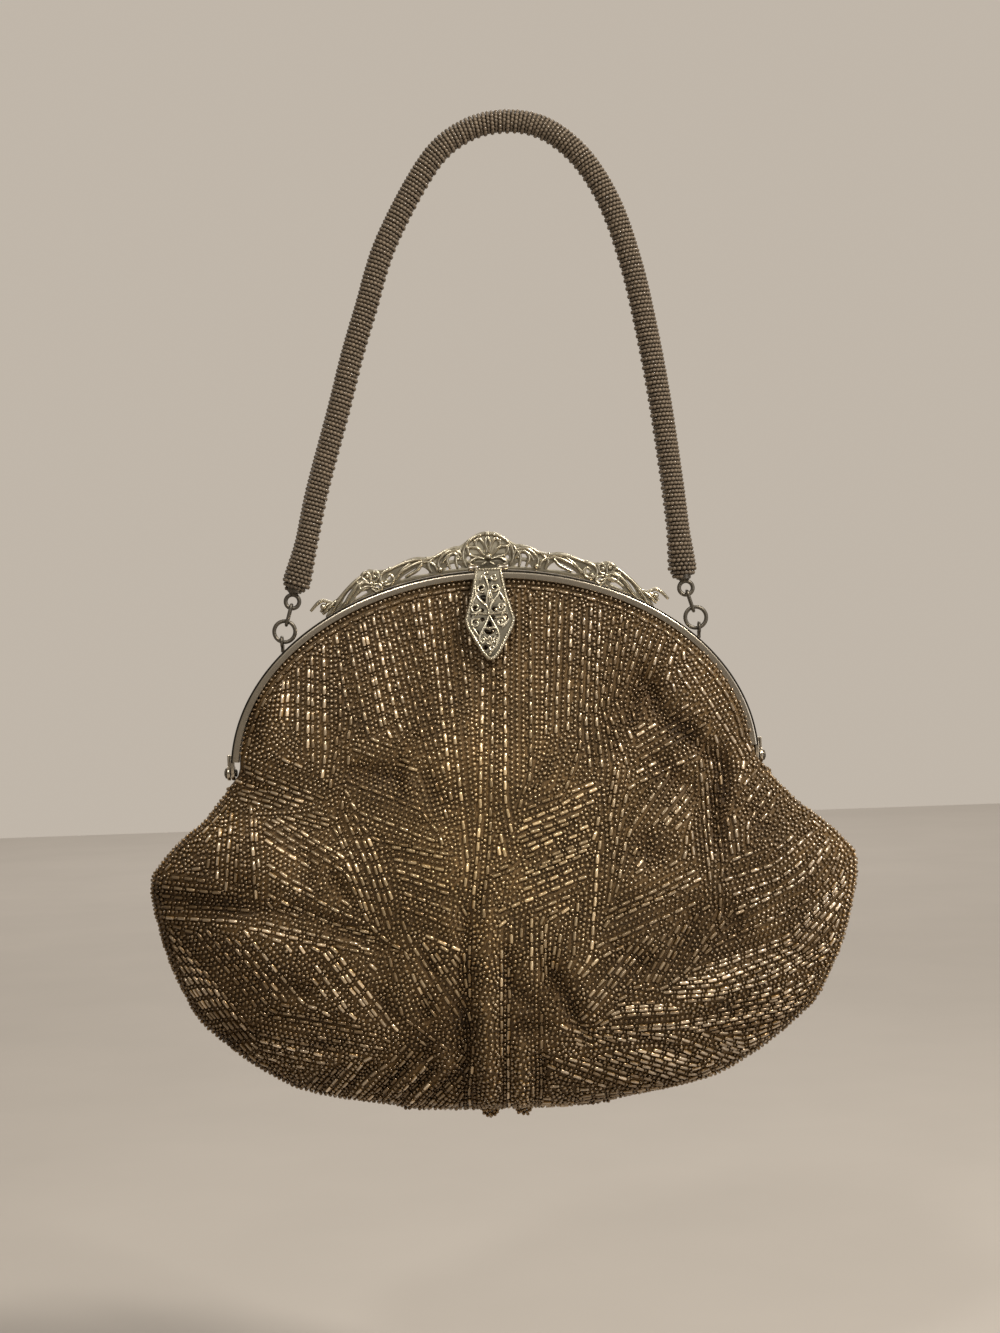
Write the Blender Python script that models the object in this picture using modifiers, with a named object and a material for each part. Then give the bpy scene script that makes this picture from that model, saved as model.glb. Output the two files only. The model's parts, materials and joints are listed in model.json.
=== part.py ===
"""A beaded frame bag with a rope handle, as an assembly of separate pieces.

Metres, +Z up. The bag's front faces -Y and +X is to the right seen from the front. The origin is the
point under the top of the handle where a hook carries it. Places are worked out from the bag's plane of
symmetry, as x, and from the lowest point of the hem, as height.
"""

import math

import bmesh
import bpy
from mathutils import Vector

# Fits
CLEARANCE = 0.0003
PIN_PLAY = 0.00015
OVERRUN = 0.002
WELD_DISTANCE = 0.00001
ROUND_SIDES = 16
HOLE_POINTS = 8
RING_STEPS = 20
RING_SIDES = 6

# Where the bag hangs
BAG_AXIS_X = -0.0103

# Frame: two arched channels, hinged at their ends
FRAME_HALF_WIDTH = 0.079
FRAME_RISE = 0.058
HINGE_LIFT = 0.005
BAND_WIDTH = 0.0024
BAND_DEPTH = 0.003
BAND_CORNER = 0.0005
BAND_FOOT_LIFT = 0.0032
HALVES_GAP = 0.0004
BACK_PROUD = 0.0003
CHANNEL_DEPTH = 0.0013
CHANNEL_WIDTH = 0.0014
BAND_SEGMENTS = 40

# Frame hinges
TAB_THICKNESS = 0.001
TAB_RADIUS = 0.0022
LUG_OVERLAP = 0.0014
RIVET_RADIUS = 0.0008
RIVET_HEAD_RADIUS = 0.0016
RIVET_HEAD_HEIGHT = 0.0006
RIVET_BURR_RADIUS = 0.0012
RIVET_BURR_HEIGHT = 0.0004

# Ears, rings and links
EAR_INSET = 0.0164
EAR_LIFT = 0.0031
EAR_HOLE_RADIUS = 0.001
EAR_RADIUS = 0.0019
EAR_THICKNESS = 0.001
CHAIN_TILT = math.radians(16.5)
RING_RADIUS = 0.00315
RING_WIRE_RADIUS = 0.00045
LINK_PITCH = 0.0041
LINK_END_RADIUS = 0.00105
LINK_WIRE_RADIUS = 0.0004
LINK_END_STEPS = 6
EYE_RADIUS = 0.00205
EYE_WIRE_RADIUS = 0.00045

# Handle
HANDLE_RISE = 0.1393
HANDLE_RADIUS = 0.0037
HANDLE_END_SWELL = 0.0006
HANDLE_SWELL_LENGTH = 0.03
BORE_RADIUS = 0.0026
PLUG_LENGTH = 0.006
PLUG_STANDOFF = 0.0008
# Route of the handle's middle line, as shares of its half span and of its rise
HANDLE_ROUTE_SHARES = (
    (-1.0, 0.0), (-0.93, 0.103), (-0.862, 0.220), (-0.743, 0.385), (-0.66, 0.507),
    (-0.583, 0.605), (-0.463, 0.750), (-0.228, 0.918), (-0.034, 0.983), (0.177, 1.0),
    (0.369, 0.981), (0.547, 0.918), (0.69, 0.815), (0.79, 0.679), (0.855, 0.539),
    (0.903, 0.409), (0.94, 0.280), (0.972, 0.149), (1.0, 0.0),
)
HANDLE_STEPS = 2

# Clasp
KNUCKLE_RADIUS = 0.001
KNUCKLE_LIFT = 0.0009
KNUCKLE_INNER_X = 0.003
KNUCKLE_OUTER_X = 0.006
PIN_RADIUS = 0.0004
PIVOT_SETBACK = 0.0007
NOSE_REACH = 0.0021
NOSE_THICKNESS = 0.0007
NOSE_HALF_WIDTH = 0.002
NOTCH_DEPTH = 0.0015
STRAP_HALF_WIDTH = 0.0025
STRAP_THICKNESS = 0.0008
STRAP_LENGTH = 0.0085
STRAP_REACH = 0.0009
PLATE_LENGTH = 0.0272
PLATE_HALF_WIDTH = 0.007
PLATE_THICKNESS = 0.0009
PLATE_TILT = math.radians(11.7)
# Half outline of the plate, as shares of its half width and of its length from the top
PLATE_OUTLINE_SHARES = (
    (0.50, 0.0), (0.56, 0.10), (0.70, 0.30), (0.88, 0.46), (1.0, 0.56),
    (0.92, 0.64), (0.64, 0.78), (0.34, 0.92), (0.14, 0.985), (0.0, 1.0),
)
# Pierced holes of the plate: middle, half width and half height, as the same shares
PLATE_HOLE_SHARES = (
    (0.0, 0.13, 0.12, 0.030), (-0.30, 0.24, 0.13, 0.036), (0.30, 0.24, 0.13, 0.036),
    (0.0, 0.35, 0.11, 0.042), (-0.52, 0.42, 0.13, 0.042), (0.52, 0.42, 0.13, 0.042),
    (0.0, 0.53, 0.12, 0.050), (-0.58, 0.565, 0.14, 0.042), (0.58, 0.565, 0.14, 0.042),
    (-0.26, 0.68, 0.11, 0.040), (0.26, 0.68, 0.11, 0.040), (0.0, 0.82, 0.12, 0.042),
)

# Crest
CREST_INSET = 0.026
CREST_HEIGHT = 0.0117
CREST_THICKNESS = 0.0012
CREST_SETBACK = 0.0016
# Height of the crest's upper edge over the arch, as shares of its half span and of its height
CREST_EDGE_SHARES = (
    (0.0, 1.0), (0.08, 0.95), (0.145, 0.79), (0.18, 0.56), (0.21, 0.45), (0.28, 0.56),
    (0.36, 0.56), (0.43, 0.42), (0.51, 0.48), (0.58, 0.46), (0.66, 0.32), (0.74, 0.38),
    (0.81, 0.34), (0.89, 0.26), (0.95, 0.32), (1.0, 0.20),
)
# Pierced holes: middle, half width and half height, as shares of the half span and the height
CREST_HOLE_SHARES = (
    (0.075, 0.60, 0.026, 0.17), (0.045, 0.25, 0.018, 0.10), (0.285, 0.30, 0.045, 0.12),
    (0.405, 0.22, 0.038, 0.09), (0.525, 0.26, 0.040, 0.10), (0.635, 0.17, 0.034, 0.07),
    (0.755, 0.20, 0.036, 0.08), (0.865, 0.14, 0.030, 0.055),
)

# Pouch
POUCH_HEIGHT = 0.098
POUCH_OVERHANG = 0.0275
POUCH_HALF_DEPTH = 0.022
POUCH_WALL = 0.0014
POUCH_SIDES = 24
LEAN_SHARE = 0.015
# Sections of the pouch, as shares of its height, its half width and its half depth
POUCH_SECTION_SHARES = (
    (0.008, 0.244, 0.16), (0.028, 0.333, 0.32), (0.057, 0.488, 0.455), (0.085, 0.592, 0.545),
    (0.117, 0.653, 0.636), (0.163, 0.723, 0.727), (0.235, 0.808, 0.84), (0.296, 0.869, 0.91),
    (0.382, 0.916, 0.955), (0.514, 0.965, 1.0), (0.622, 0.990, 1.0), (0.694, 1.0, 0.975),
    (0.745, 0.995, 0.945), (0.796, 0.958, 0.91), (0.852, 0.906, 0.873), (0.903, 0.845, 0.845),
    (0.949, 0.807, 0.818), (1.0, 0.765, 0.786),
)
SECTION_POWER = 1.25

# Panels between the pouch and the frame
PANEL_FOOT_INSET = 0.0052
PANEL_THICKNESS = 0.0008
PANEL_COLUMNS = 14
PANEL_ROWS = 7
PANEL_HEM_SHARE = 0.022
PANEL_POWER = 0.625
PANEL_FALL_POWER = 0.95
PANEL_CORNER_SHARE = 0.62

# Lining
LINING_THICKNESS = 0.0005
LINING_INSET = 0.0012

# Hem tufts
PICOT_X = 0.005
PICOT_HALF_WIDTH = 0.0024
PICOT_HALF_HEIGHT = 0.0016

# Sizes that follow from the ones above
HINGE_HEIGHT = POUCH_HEIGHT + HINGE_LIFT
POUCH_HALF_WIDTH = FRAME_HALF_WIDTH + POUCH_OVERHANG
PANEL_FOOT_HALF_WIDTH = FRAME_HALF_WIDTH - PANEL_FOOT_INSET
CREST_HALF_SPAN = FRAME_HALF_WIDTH - CREST_INSET
CHANNEL_EDGE = (CHANNEL_WIDTH - PANEL_THICKNESS) / 2
BAND_MIDDLE_Y = (HALVES_GAP + BAND_DEPTH) / 2
PANEL_EDGE_Y = BAND_MIDDLE_Y + PANEL_THICKNESS / 2
INNER_HALF_WIDTH = FRAME_HALF_WIDTH - BAND_WIDTH
INNER_RISE = FRAME_RISE - BAND_WIDTH
FRAME_TOP = HINGE_HEIGHT + FRAME_RISE
BAND_FOOT = HINGE_HEIGHT + BAND_FOOT_LIFT
TAB_INNER_X = FRAME_HALF_WIDTH - TAB_THICKNESS
LUG_INNER_X = FRAME_HALF_WIDTH + CLEARANCE
PIVOT_HEIGHT = FRAME_TOP + KNUCKLE_LIFT
PIVOT_Y = -HALVES_GAP / 2 - PIVOT_SETBACK
HOLE_RADIUS = PIN_RADIUS + PIN_PLAY
PANEL_FOOT = POUCH_HEIGHT + CLEARANCE
POUCH_RIM_DEPTH = POUCH_HALF_DEPTH * POUCH_SECTION_SHARES[-1][2]
CHAIN_UP = Vector((-math.sin(CHAIN_TILT), 0, math.cos(CHAIN_TILT)))
EAR_X = FRAME_HALF_WIDTH - EAR_INSET
EAR_SHARE = EAR_X / (FRAME_HALF_WIDTH + BACK_PROUD)
EAR_HEIGHT = HINGE_HEIGHT + (FRAME_RISE + BACK_PROUD) * math.sqrt(1 - EAR_SHARE**2) + EAR_LIFT
EAR_POINT = Vector((EAR_X, 0, EAR_HEIGHT))
RING_MIDDLE = EAR_POINT + RING_RADIUS * CHAIN_UP
RING_TOP = EAR_POINT + 2 * RING_RADIUS * CHAIN_UP
LINK_TOP = RING_TOP + LINK_PITCH * CHAIN_UP
EYE_MIDDLE = LINK_TOP + EYE_RADIUS * CHAIN_UP
EYE_TOP = LINK_TOP + 2 * EYE_RADIUS * CHAIN_UP
HANDLE_HALF_SPAN = EYE_TOP.x
HANDLE_FOOT = EYE_TOP.z + PLUG_STANDOFF
HOOK_SEAT_HEIGHT = HANDLE_FOOT + HANDLE_RISE - HANDLE_RADIUS


def start_scene():
    """An empty scene with one collection for the bag and one for what cuts or joins its pieces."""
    for old in list(bpy.data.objects):
        bpy.data.objects.remove(old)
    made = []
    for name in ("beaded_frame_bag", "cutters"):
        collection = bpy.data.collections.new(name)
        bpy.context.scene.collection.children.link(collection)
        made.append(collection)
    return made


PARTS, CUTTERS = start_scene()

# Colour, roughness and metallic value of each finish
FINISHES = {
    "beads": ((0.19, 0.155, 0.105), 0.3, 0.25),
    "rope": ((0.14, 0.115, 0.08), 0.35, 0.25),
    "cord": ((0.45, 0.41, 0.34), 0.9, 0.0),
    "satin": ((0.55, 0.47, 0.34), 0.45, 0.0),
    "nickel": ((0.62, 0.59, 0.53), 0.22, 1.0),
    "steel": ((0.42, 0.40, 0.37), 0.3, 1.0),
}


def bag_point(x, y, height):
    """World place of a point given from the bag's plane of symmetry and its hem."""
    return Vector((BAG_AXIS_X + x, y, height - HOOK_SEAT_HEIGHT))


def mirrored(point, side):
    return Vector((side * point.x, point.y, point.z))


def to_world(point):
    return bag_point(point.x, point.y, point.z)


def finish(piece, kind):
    """Puts a piece in the bag's collection with a material of its own."""
    colour, roughness, metallic = FINISHES[kind]
    material = bpy.data.materials.new(piece.name)
    material.use_nodes = True
    shader = material.node_tree.nodes["Principled BSDF"]
    shader.inputs["Base Color"].default_value = (*colour, 1)
    shader.inputs["Roughness"].default_value = roughness
    shader.inputs["Metallic"].default_value = metallic
    piece.data.materials.clear()
    piece.data.materials.append(material)
    move_to(piece, PARTS)
    return piece


def move_to(piece, collection):
    for old in list(piece.users_collection):
        old.objects.unlink(piece)
    collection.objects.link(piece)


def as_mesh(curve):
    """The curve as a mesh object of the same name and place, with its caps joined on."""
    move_to(curve, CUTTERS)
    bpy.context.view_layer.update()
    graph = bpy.context.evaluated_depsgraph_get()
    mesh = bpy.data.meshes.new_from_object(curve.evaluated_get(graph))
    place = curve.matrix_world.copy()
    name = curve.name
    bpy.data.objects.remove(curve)
    shape = bmesh.new()
    shape.from_mesh(mesh)
    bmesh.ops.remove_doubles(shape, verts=shape.verts, dist=WELD_DISTANCE)
    bmesh.ops.recalc_face_normals(shape, faces=shape.faces)
    shape.to_mesh(mesh)
    shape.free()
    made = bpy.data.objects.new(name, mesh)
    made.matrix_world = place
    return made


def combine(piece, helper, operation):
    """Cuts or joins a helper, which stays in the cutters' collection, out of the build."""
    move_to(helper, CUTTERS)
    helper.hide_render = True
    helper.display_type = "WIRE"
    change = piece.modifiers.new(f"{operation.lower()} {helper.name}", "BOOLEAN")
    change.operation = operation
    change.object = helper
    return piece


def cut(piece, helper):
    return combine(piece, helper, "DIFFERENCE")


def join(piece, helper):
    return combine(piece, helper, "UNION")


def plate(name, outlines, thickness, middle_y=0.0, top=None, tilt=0.0):
    """An upright plate from closed outlines of (x, height); the inner outlines are holes."""
    data = bpy.data.curves.new(name, "CURVE")
    data.dimensions = "2D"
    data.fill_mode = "BOTH"
    data.extrude = thickness / 2
    for outline in outlines:
        spline = data.splines.new("POLY")
        spline.points.add(len(outline) - 1)
        for point, (x, height) in zip(spline.points, outline):
            point.co = (x, height, 0, 1)
        spline.use_cyclic_u = True
    made = bpy.data.objects.new(name, data)
    made.location = to_world(top) if top else bag_point(0, middle_y, 0)
    made.rotation_euler = (math.radians(90) - tilt, 0, 0)
    return made


def wire(name, points, radius, radii=None, closed=False, resolution=2):
    """A round wire or tube along points given in the bag's measures."""
    data = bpy.data.curves.new(name, "CURVE")
    data.dimensions = "3D"
    data.bevel_depth = radius
    data.bevel_resolution = resolution
    data.use_fill_caps = not closed
    spline = data.splines.new("POLY")
    spline.points.add(len(points) - 1)
    for index, place in enumerate(points):
        spline.points[index].co = (*place, 1)
        if radii:
            spline.points[index].radius = radii[index] / radius
    spline.use_cyclic_u = closed
    made = bpy.data.objects.new(name, data)
    made.location = bag_point(0, 0, 0)
    return made


def rod(name, radius, length, middle):
    """A cylinder along X, round a middle given in the bag's measures."""
    bpy.ops.mesh.primitive_cylinder_add(
        vertices=ROUND_SIDES, radius=radius, depth=length, location=to_world(middle),
        rotation=(0, math.radians(90), 0),
    )
    made = bpy.context.object
    made.name = name
    return made


def block(name, low, high):
    """A box between two corners given in the bag's measures."""
    low, high = Vector(low), Vector(high)
    bpy.ops.mesh.primitive_cube_add(size=1, location=to_world((low + high) / 2))
    made = bpy.context.object
    made.name = name
    made.scale = high - low
    bpy.ops.object.transform_apply(location=False, rotation=False, scale=True)
    return made


def side_block(name, side, low, high):
    """A box on the left or right side, given for the right."""
    xs = sorted((side * low[0], side * high[0]))
    return block(name, (xs[0], low[1], low[2]), (xs[1], high[1], high[2]))


def ring(name, middle, radius, wire_radius, tilt):
    """A round ring standing in the XZ plane, turned in that plane by tilt."""
    bpy.ops.mesh.primitive_torus_add(
        major_segments=RING_STEPS, minor_segments=RING_SIDES,
        major_radius=radius, minor_radius=wire_radius,
        location=to_world(middle), rotation=(math.radians(90), tilt, 0),
    )
    made = bpy.context.object
    made.name = name
    return made


def arch_height(x, proud):
    """Height of the arch's outer edge over a place x, for an arch that stands proud by so much."""
    return HINGE_HEIGHT + (FRAME_RISE + proud) * math.sqrt(1 - (x / (FRAME_HALF_WIDTH + proud)) ** 2)


def arch_points(inset, segments, foot_lift=BAND_FOOT_LIFT):
    """Points of the arch from right to left, inset from its outer edge, above its feet."""
    half_width = FRAME_HALF_WIDTH - inset
    rise = FRAME_RISE - inset
    start = math.asin(foot_lift / rise)
    step = (math.pi - 2 * start) / segments
    turns = [start + step * index for index in range(segments + 1)]
    return [(half_width * math.cos(turn), HINGE_HEIGHT + rise * math.sin(turn)) for turn in turns]


def channel_profile(name):
    """Section of a frame half, from its inner edge outwards: a strip with a groove for the fabric."""
    half = BAND_DEPTH / 2
    groove = CHANNEL_WIDTH / 2
    corner = BAND_CORNER
    outer = []
    for middle_y, first in ((corner - half, -90), (half - corner, 0)):
        for step in range(3):
            turn = math.radians(first + 45 * step)
            outer.append(
                (BAND_WIDTH - corner + corner * math.cos(turn), middle_y + corner * math.sin(turn))
            )
    inner = [(0, half), (0, groove), (CHANNEL_DEPTH, groove)]
    inner += [(x, -y) for x, y in inner[::-1]]
    data = bpy.data.curves.new(name, "CURVE")
    data.dimensions = "2D"
    spline = data.splines.new("POLY")
    spline.points.add(len(outer) + len(inner) - 1)
    for point, (x, y) in zip(spline.points, outer + inner):
        point.co = (x, y, 0, 1)
    spline.use_cyclic_u = True
    made = bpy.data.objects.new(name, data)
    move_to(made, CUTTERS)
    made.hide_render = True
    return made


def channel(name, profile, side_y, proud):
    """One arched channel of the frame, swept round the arch."""
    data = bpy.data.curves.new(name, "CURVE")
    data.dimensions = "2D"
    data.bevel_mode = "OBJECT"
    data.bevel_object = profile
    data.use_fill_caps = True
    spline = data.splines.new("POLY")
    points = arch_points(BAND_WIDTH - proud, BAND_SEGMENTS)
    spline.points.add(len(points) - 1)
    for point, (x, height) in zip(spline.points, points):
        point.co = (x, height, 0, 1)
    made = bpy.data.objects.new(name, data)
    made.location = bag_point(0, side_y * BAND_MIDDLE_Y, 0)
    made.rotation_euler = (math.radians(90), 0, 0)
    return as_mesh(made)


def hinge_hole(name, side):
    middle = Vector((side * FRAME_HALF_WIDTH, 0, HINGE_HEIGHT))
    return rod(name, RIVET_RADIUS + PIN_PLAY, 2 * (TAB_THICKNESS + OVERRUN), middle)


def make_front_frame(profile):
    """The front channel with its hinge tabs and the two outer knuckles of the clasp."""
    frame = channel("front_frame", profile, -1, 0)
    reach = BAND_MIDDLE_Y + BAND_DEPTH / 2
    for side, word in ((-1, "left"), (1, "right")):
        middle = Vector((side * (TAB_INNER_X + TAB_THICKNESS / 2), 0, HINGE_HEIGHT))
        join(frame, rod(f"front_tab_{word}", TAB_RADIUS, TAB_THICKNESS, middle))
        join(frame, side_block(
            f"front_neck_{word}", side,
            (TAB_INNER_X, -reach + BAND_CORNER, HINGE_HEIGHT),
            (FRAME_HALF_WIDTH, -HALVES_GAP / 2, BAND_FOOT + TAB_THICKNESS),
        ))
        cut(frame, hinge_hole(f"front_hinge_hole_{word}", side))
        knuckle_length = KNUCKLE_OUTER_X - KNUCKLE_INNER_X
        middle_x = side * (KNUCKLE_INNER_X + knuckle_length / 2)
        join(frame, rod(
            f"outer_knuckle_{word}", KNUCKLE_RADIUS, knuckle_length,
            Vector((middle_x, PIVOT_Y, PIVOT_HEIGHT)),
        ))
        join(frame, side_block(
            f"knuckle_foot_{word}", side,
            (KNUCKLE_INNER_X, PIVOT_Y - KNUCKLE_RADIUS / 2, FRAME_TOP - BAND_CORNER),
            (KNUCKLE_OUTER_X, -HALVES_GAP / 2, PIVOT_HEIGHT),
        ))
    notch = KNUCKLE_INNER_X
    cut(frame, block(
        "front_notch",
        (-notch, -reach - OVERRUN, FRAME_TOP - NOTCH_DEPTH),
        (notch, OVERRUN, PIVOT_HEIGHT + OVERRUN),
    ))
    cut(frame, rod(
        "pin_hole", HOLE_RADIUS, 2 * (KNUCKLE_OUTER_X + OVERRUN), Vector((0, PIVOT_Y, PIVOT_HEIGHT))
    ))
    return finish(frame, "nickel")


def make_back_frame(profile):
    """The back channel with its hinge lugs and the notch that the clasp's nose drops into."""
    frame = channel("back_frame", profile, 1, BACK_PROUD)
    reach = BAND_MIDDLE_Y + BAND_DEPTH / 2
    lug_top = BAND_FOOT + TAB_RADIUS
    for side, word in ((-1, "left"), (1, "right")):
        middle = Vector((side * (LUG_INNER_X + TAB_THICKNESS / 2), 0, HINGE_HEIGHT))
        join(frame, rod(f"back_tab_{word}", TAB_RADIUS, TAB_THICKNESS, middle))
        join(frame, side_block(
            f"back_lug_{word}", side,
            (LUG_INNER_X, HALVES_GAP / 2, HINGE_HEIGHT),
            (LUG_INNER_X + TAB_THICKNESS, reach - BAND_CORNER, lug_top),
        ))
        join(frame, side_block(
            f"back_shoulder_{word}", side,
            (LUG_INNER_X - LUG_OVERLAP, HALVES_GAP / 2, BAND_FOOT),
            (LUG_INNER_X + TAB_THICKNESS / 2, reach - BAND_CORNER, lug_top),
        ))
        cut(frame, hinge_hole(f"back_hinge_hole_{word}", side))
    notch = KNUCKLE_INNER_X
    cut(frame, block(
        "back_notch",
        (-notch, -OVERRUN, FRAME_TOP - NOTCH_DEPTH),
        (notch, PIVOT_Y + NOSE_REACH + CLEARANCE, PIVOT_HEIGHT + OVERRUN),
    ))
    return finish(frame, "nickel")


def make_rivet(side, word):
    """Rivet through both tabs, with its head outside and its burr inside."""
    inner_x = TAB_INNER_X - CLEARANCE
    outer_x = LUG_INNER_X + TAB_THICKNESS + CLEARANCE
    start = inner_x - RIVET_BURR_HEIGHT
    end = outer_x + RIVET_HEAD_HEIGHT
    rivet = rod(
        f"rivet_{word}", RIVET_RADIUS, end - start,
        Vector((side * (start + end) / 2, 0, HINGE_HEIGHT)),
    )
    join(rivet, rod(
        f"rivet_head_{word}", RIVET_HEAD_RADIUS, RIVET_HEAD_HEIGHT,
        Vector((side * (outer_x + RIVET_HEAD_HEIGHT / 2), 0, HINGE_HEIGHT)),
    ))
    join(rivet, rod(
        f"rivet_burr_{word}", RIVET_BURR_RADIUS, RIVET_BURR_HEIGHT,
        Vector((side * (inner_x - RIVET_BURR_HEIGHT / 2), 0, HINGE_HEIGHT)),
    ))
    return finish(rivet, "steel")


def make_ear(side, word):
    """Eye on the arch's outer edge for the ring, with a foot that follows the back channel."""
    middle = mirrored(EAR_POINT, side)
    half = EAR_THICKNESS / 2
    ear = rod(f"ear_{word}", EAR_RADIUS, EAR_THICKNESS, middle)
    foot_y = BAND_MIDDLE_Y + BAND_DEPTH / 2 - BAND_CORNER
    join(ear, block(
        f"ear_foot_{word}",
        (middle.x - half, HALVES_GAP / 2, arch_height(EAR_X + half, BACK_PROUD) - CHANNEL_DEPTH),
        (middle.x + half, foot_y, EAR_HEIGHT - EAR_HOLE_RADIUS - PIN_PLAY),
    ))
    cut(ear, rod(f"ear_hole_{word}", EAR_HOLE_RADIUS, EAR_THICKNESS + OVERRUN, middle))
    outer = arch_points(-BACK_PROUD - CLEARANCE, BAND_SEGMENTS)
    inner = arch_points(BAND_WIDTH + OVERRUN, BAND_SEGMENTS)
    seat = plate(f"ear_seat_{word}", [outer + inner[::-1]], 2 * (foot_y + OVERRUN))
    return finish(cut(ear, as_mesh(seat)), "nickel")


def make_ring(side, word):
    made = ring(
        f"ring_{word}", mirrored(RING_MIDDLE, side), RING_RADIUS, RING_WIRE_RADIUS, -side * CHAIN_TILT
    )
    return finish(made, "steel")


def make_link(side, word):
    """Oval link round the ring's top and the eye's foot, across the plane that they stand in."""
    points = []
    for middle, first in ((LINK_TOP, 0), (RING_TOP, 180)):
        for step in range(LINK_END_STEPS + 1):
            turn = math.radians(first + 180 * step / LINK_END_STEPS)
            across = LINK_END_RADIUS * math.cos(turn)
            along = LINK_END_RADIUS * math.sin(turn)
            place = middle + Vector((0, across, 0)) + along * CHAIN_UP
            points.append(mirrored(place, side))
    made = wire(f"link_{word}", points, LINK_WIRE_RADIUS, closed=True, resolution=1)
    return finish(made, "steel")


def handle_path():
    """The handle's middle line, as a smooth curve through its route's points."""
    route = [
        Vector((across * HANDLE_HALF_SPAN, 0, HANDLE_FOOT + rise * HANDLE_RISE))
        for across, rise in HANDLE_ROUTE_SHARES
    ]
    ends = [2 * route[0] - route[1], 2 * route[-1] - route[-2]]
    held = [ends[0], *route, ends[1]]
    path = []
    for index in range(1, len(held) - 2):
        before, here, after, beyond = held[index - 1 : index + 3]
        for step in range(HANDLE_STEPS):
            t = step / HANDLE_STEPS
            path.append(0.5 * (
                2 * here + (after - before) * t
                + (2 * before - 5 * here + 4 * after - beyond) * t * t
                + (3 * here - before - 3 * after + beyond) * t ** 3
            ))
    return [*path, route[-1]]


def distances(path):
    """Distance of each point of the path from the handle's nearer end."""
    along = [0]
    for before, after in zip(path, path[1:]):
        along.append(along[-1] + (after - before).length)
    return [min(place, along[-1] - place) for place in along]


def make_handle_sleeve(path):
    swells = [max(0, 1 - place / HANDLE_SWELL_LENGTH) * HANDLE_END_SWELL for place in distances(path)]
    radii = [HANDLE_RADIUS + swell for swell in swells]
    sleeve = as_mesh(wire("handle_sleeve", path, HANDLE_RADIUS, radii=radii, resolution=3))
    first = (path[0] - path[1]).normalized() * OVERRUN
    last = (path[-1] - path[-2]).normalized() * OVERRUN
    through = [path[0] + first, *path[1:-1], path[-1] + last]
    cut(sleeve, as_mesh(wire("handle_bore", through, BORE_RADIUS)))
    return finish(sleeve, "rope")


def make_handle_core(path):
    spare = PLUG_LENGTH + CLEARANCE
    inside = [point for point, place in zip(path, distances(path)) if place > spare]
    return finish(wire("handle_core", inside, BORE_RADIUS - CLEARANCE), "cord")


def make_handle_end(path, side, word):
    """Plug in the sleeve's end with the eye that the link hangs in."""
    end, beyond = (path[0], path[1]) if side < 0 else (path[-1], path[-2])
    inwards = (beyond - end).normalized()
    eye = mirrored(EYE_MIDDLE, side)
    made = ring(f"handle_end_{word}", eye, EYE_RADIUS, EYE_WIRE_RADIUS, -side * CHAIN_TILT)
    top = mirrored(EYE_TOP, side)
    radius = BORE_RADIUS - CLEARANCE
    shape = [top - inwards * EYE_WIRE_RADIUS / 2, end, end + inwards * PLUG_LENGTH]
    plug = as_mesh(wire(f"plug_{word}", shape, radius, radii=[radius / 3, radius, radius]))
    return finish(join(made, plug), "steel")


def make_clasp_pin():
    pin = rod("clasp_pin", PIN_RADIUS, 2 * KNUCKLE_OUTER_X, Vector((0, PIVOT_Y, PIVOT_HEIGHT)))
    return finish(pin, "steel")


def clasp_corner():
    """Where the strap turns down in front of the frame: its outer face's upper corner."""
    front = BAND_MIDDLE_Y + BAND_DEPTH / 2
    return Vector((0, -front - CLEARANCE - STRAP_THICKNESS - STRAP_REACH, FRAME_TOP))


def make_clasp_lever():
    """Centre knuckle with the strap in front and the nose behind, as one casting."""
    length = 2 * (KNUCKLE_INNER_X - CLEARANCE)
    pivot = Vector((0, PIVOT_Y, PIVOT_HEIGHT))
    lever = rod("clasp_lever", KNUCKLE_RADIUS, length, pivot)
    corner = clasp_corner()
    down = Vector((0, -math.sin(PLATE_TILT), -math.cos(PLATE_TILT)))
    inwards = Vector((0, math.cos(PLATE_TILT), -math.sin(PLATE_TILT))) * STRAP_THICKNESS
    tip = corner + down * STRAP_LENGTH
    shoulder = pivot + Vector((0, 0, KNUCKLE_RADIUS))
    under = pivot - Vector((0, 0, KNUCKLE_RADIUS / 2))
    profile = [shoulder, corner, tip, tip + inwards, corner + inwards, under]
    strap = plate(
        "clasp_strap", [[(point.y, point.z) for point in profile]], 2 * STRAP_HALF_WIDTH
    )
    strap.rotation_euler = (math.radians(90), 0, math.radians(90))
    join(lever, as_mesh(strap))
    join(lever, block(
        "clasp_nose",
        (-NOSE_HALF_WIDTH, PIVOT_Y, PIVOT_HEIGHT - NOSE_THICKNESS / 2),
        (NOSE_HALF_WIDTH, PIVOT_Y + NOSE_REACH, PIVOT_HEIGHT + NOSE_THICKNESS / 2),
    ))
    cut(lever, rod("lever_hole", HOLE_RADIUS, length + OVERRUN, pivot))
    return finish(lever, "nickel")


def oval(x, height, half_width, half_height):
    turns = [2 * math.pi * index / HOLE_POINTS for index in range(HOLE_POINTS)]
    return [(x + half_width * math.cos(turn), height + half_height * math.sin(turn)) for turn in turns]


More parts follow.
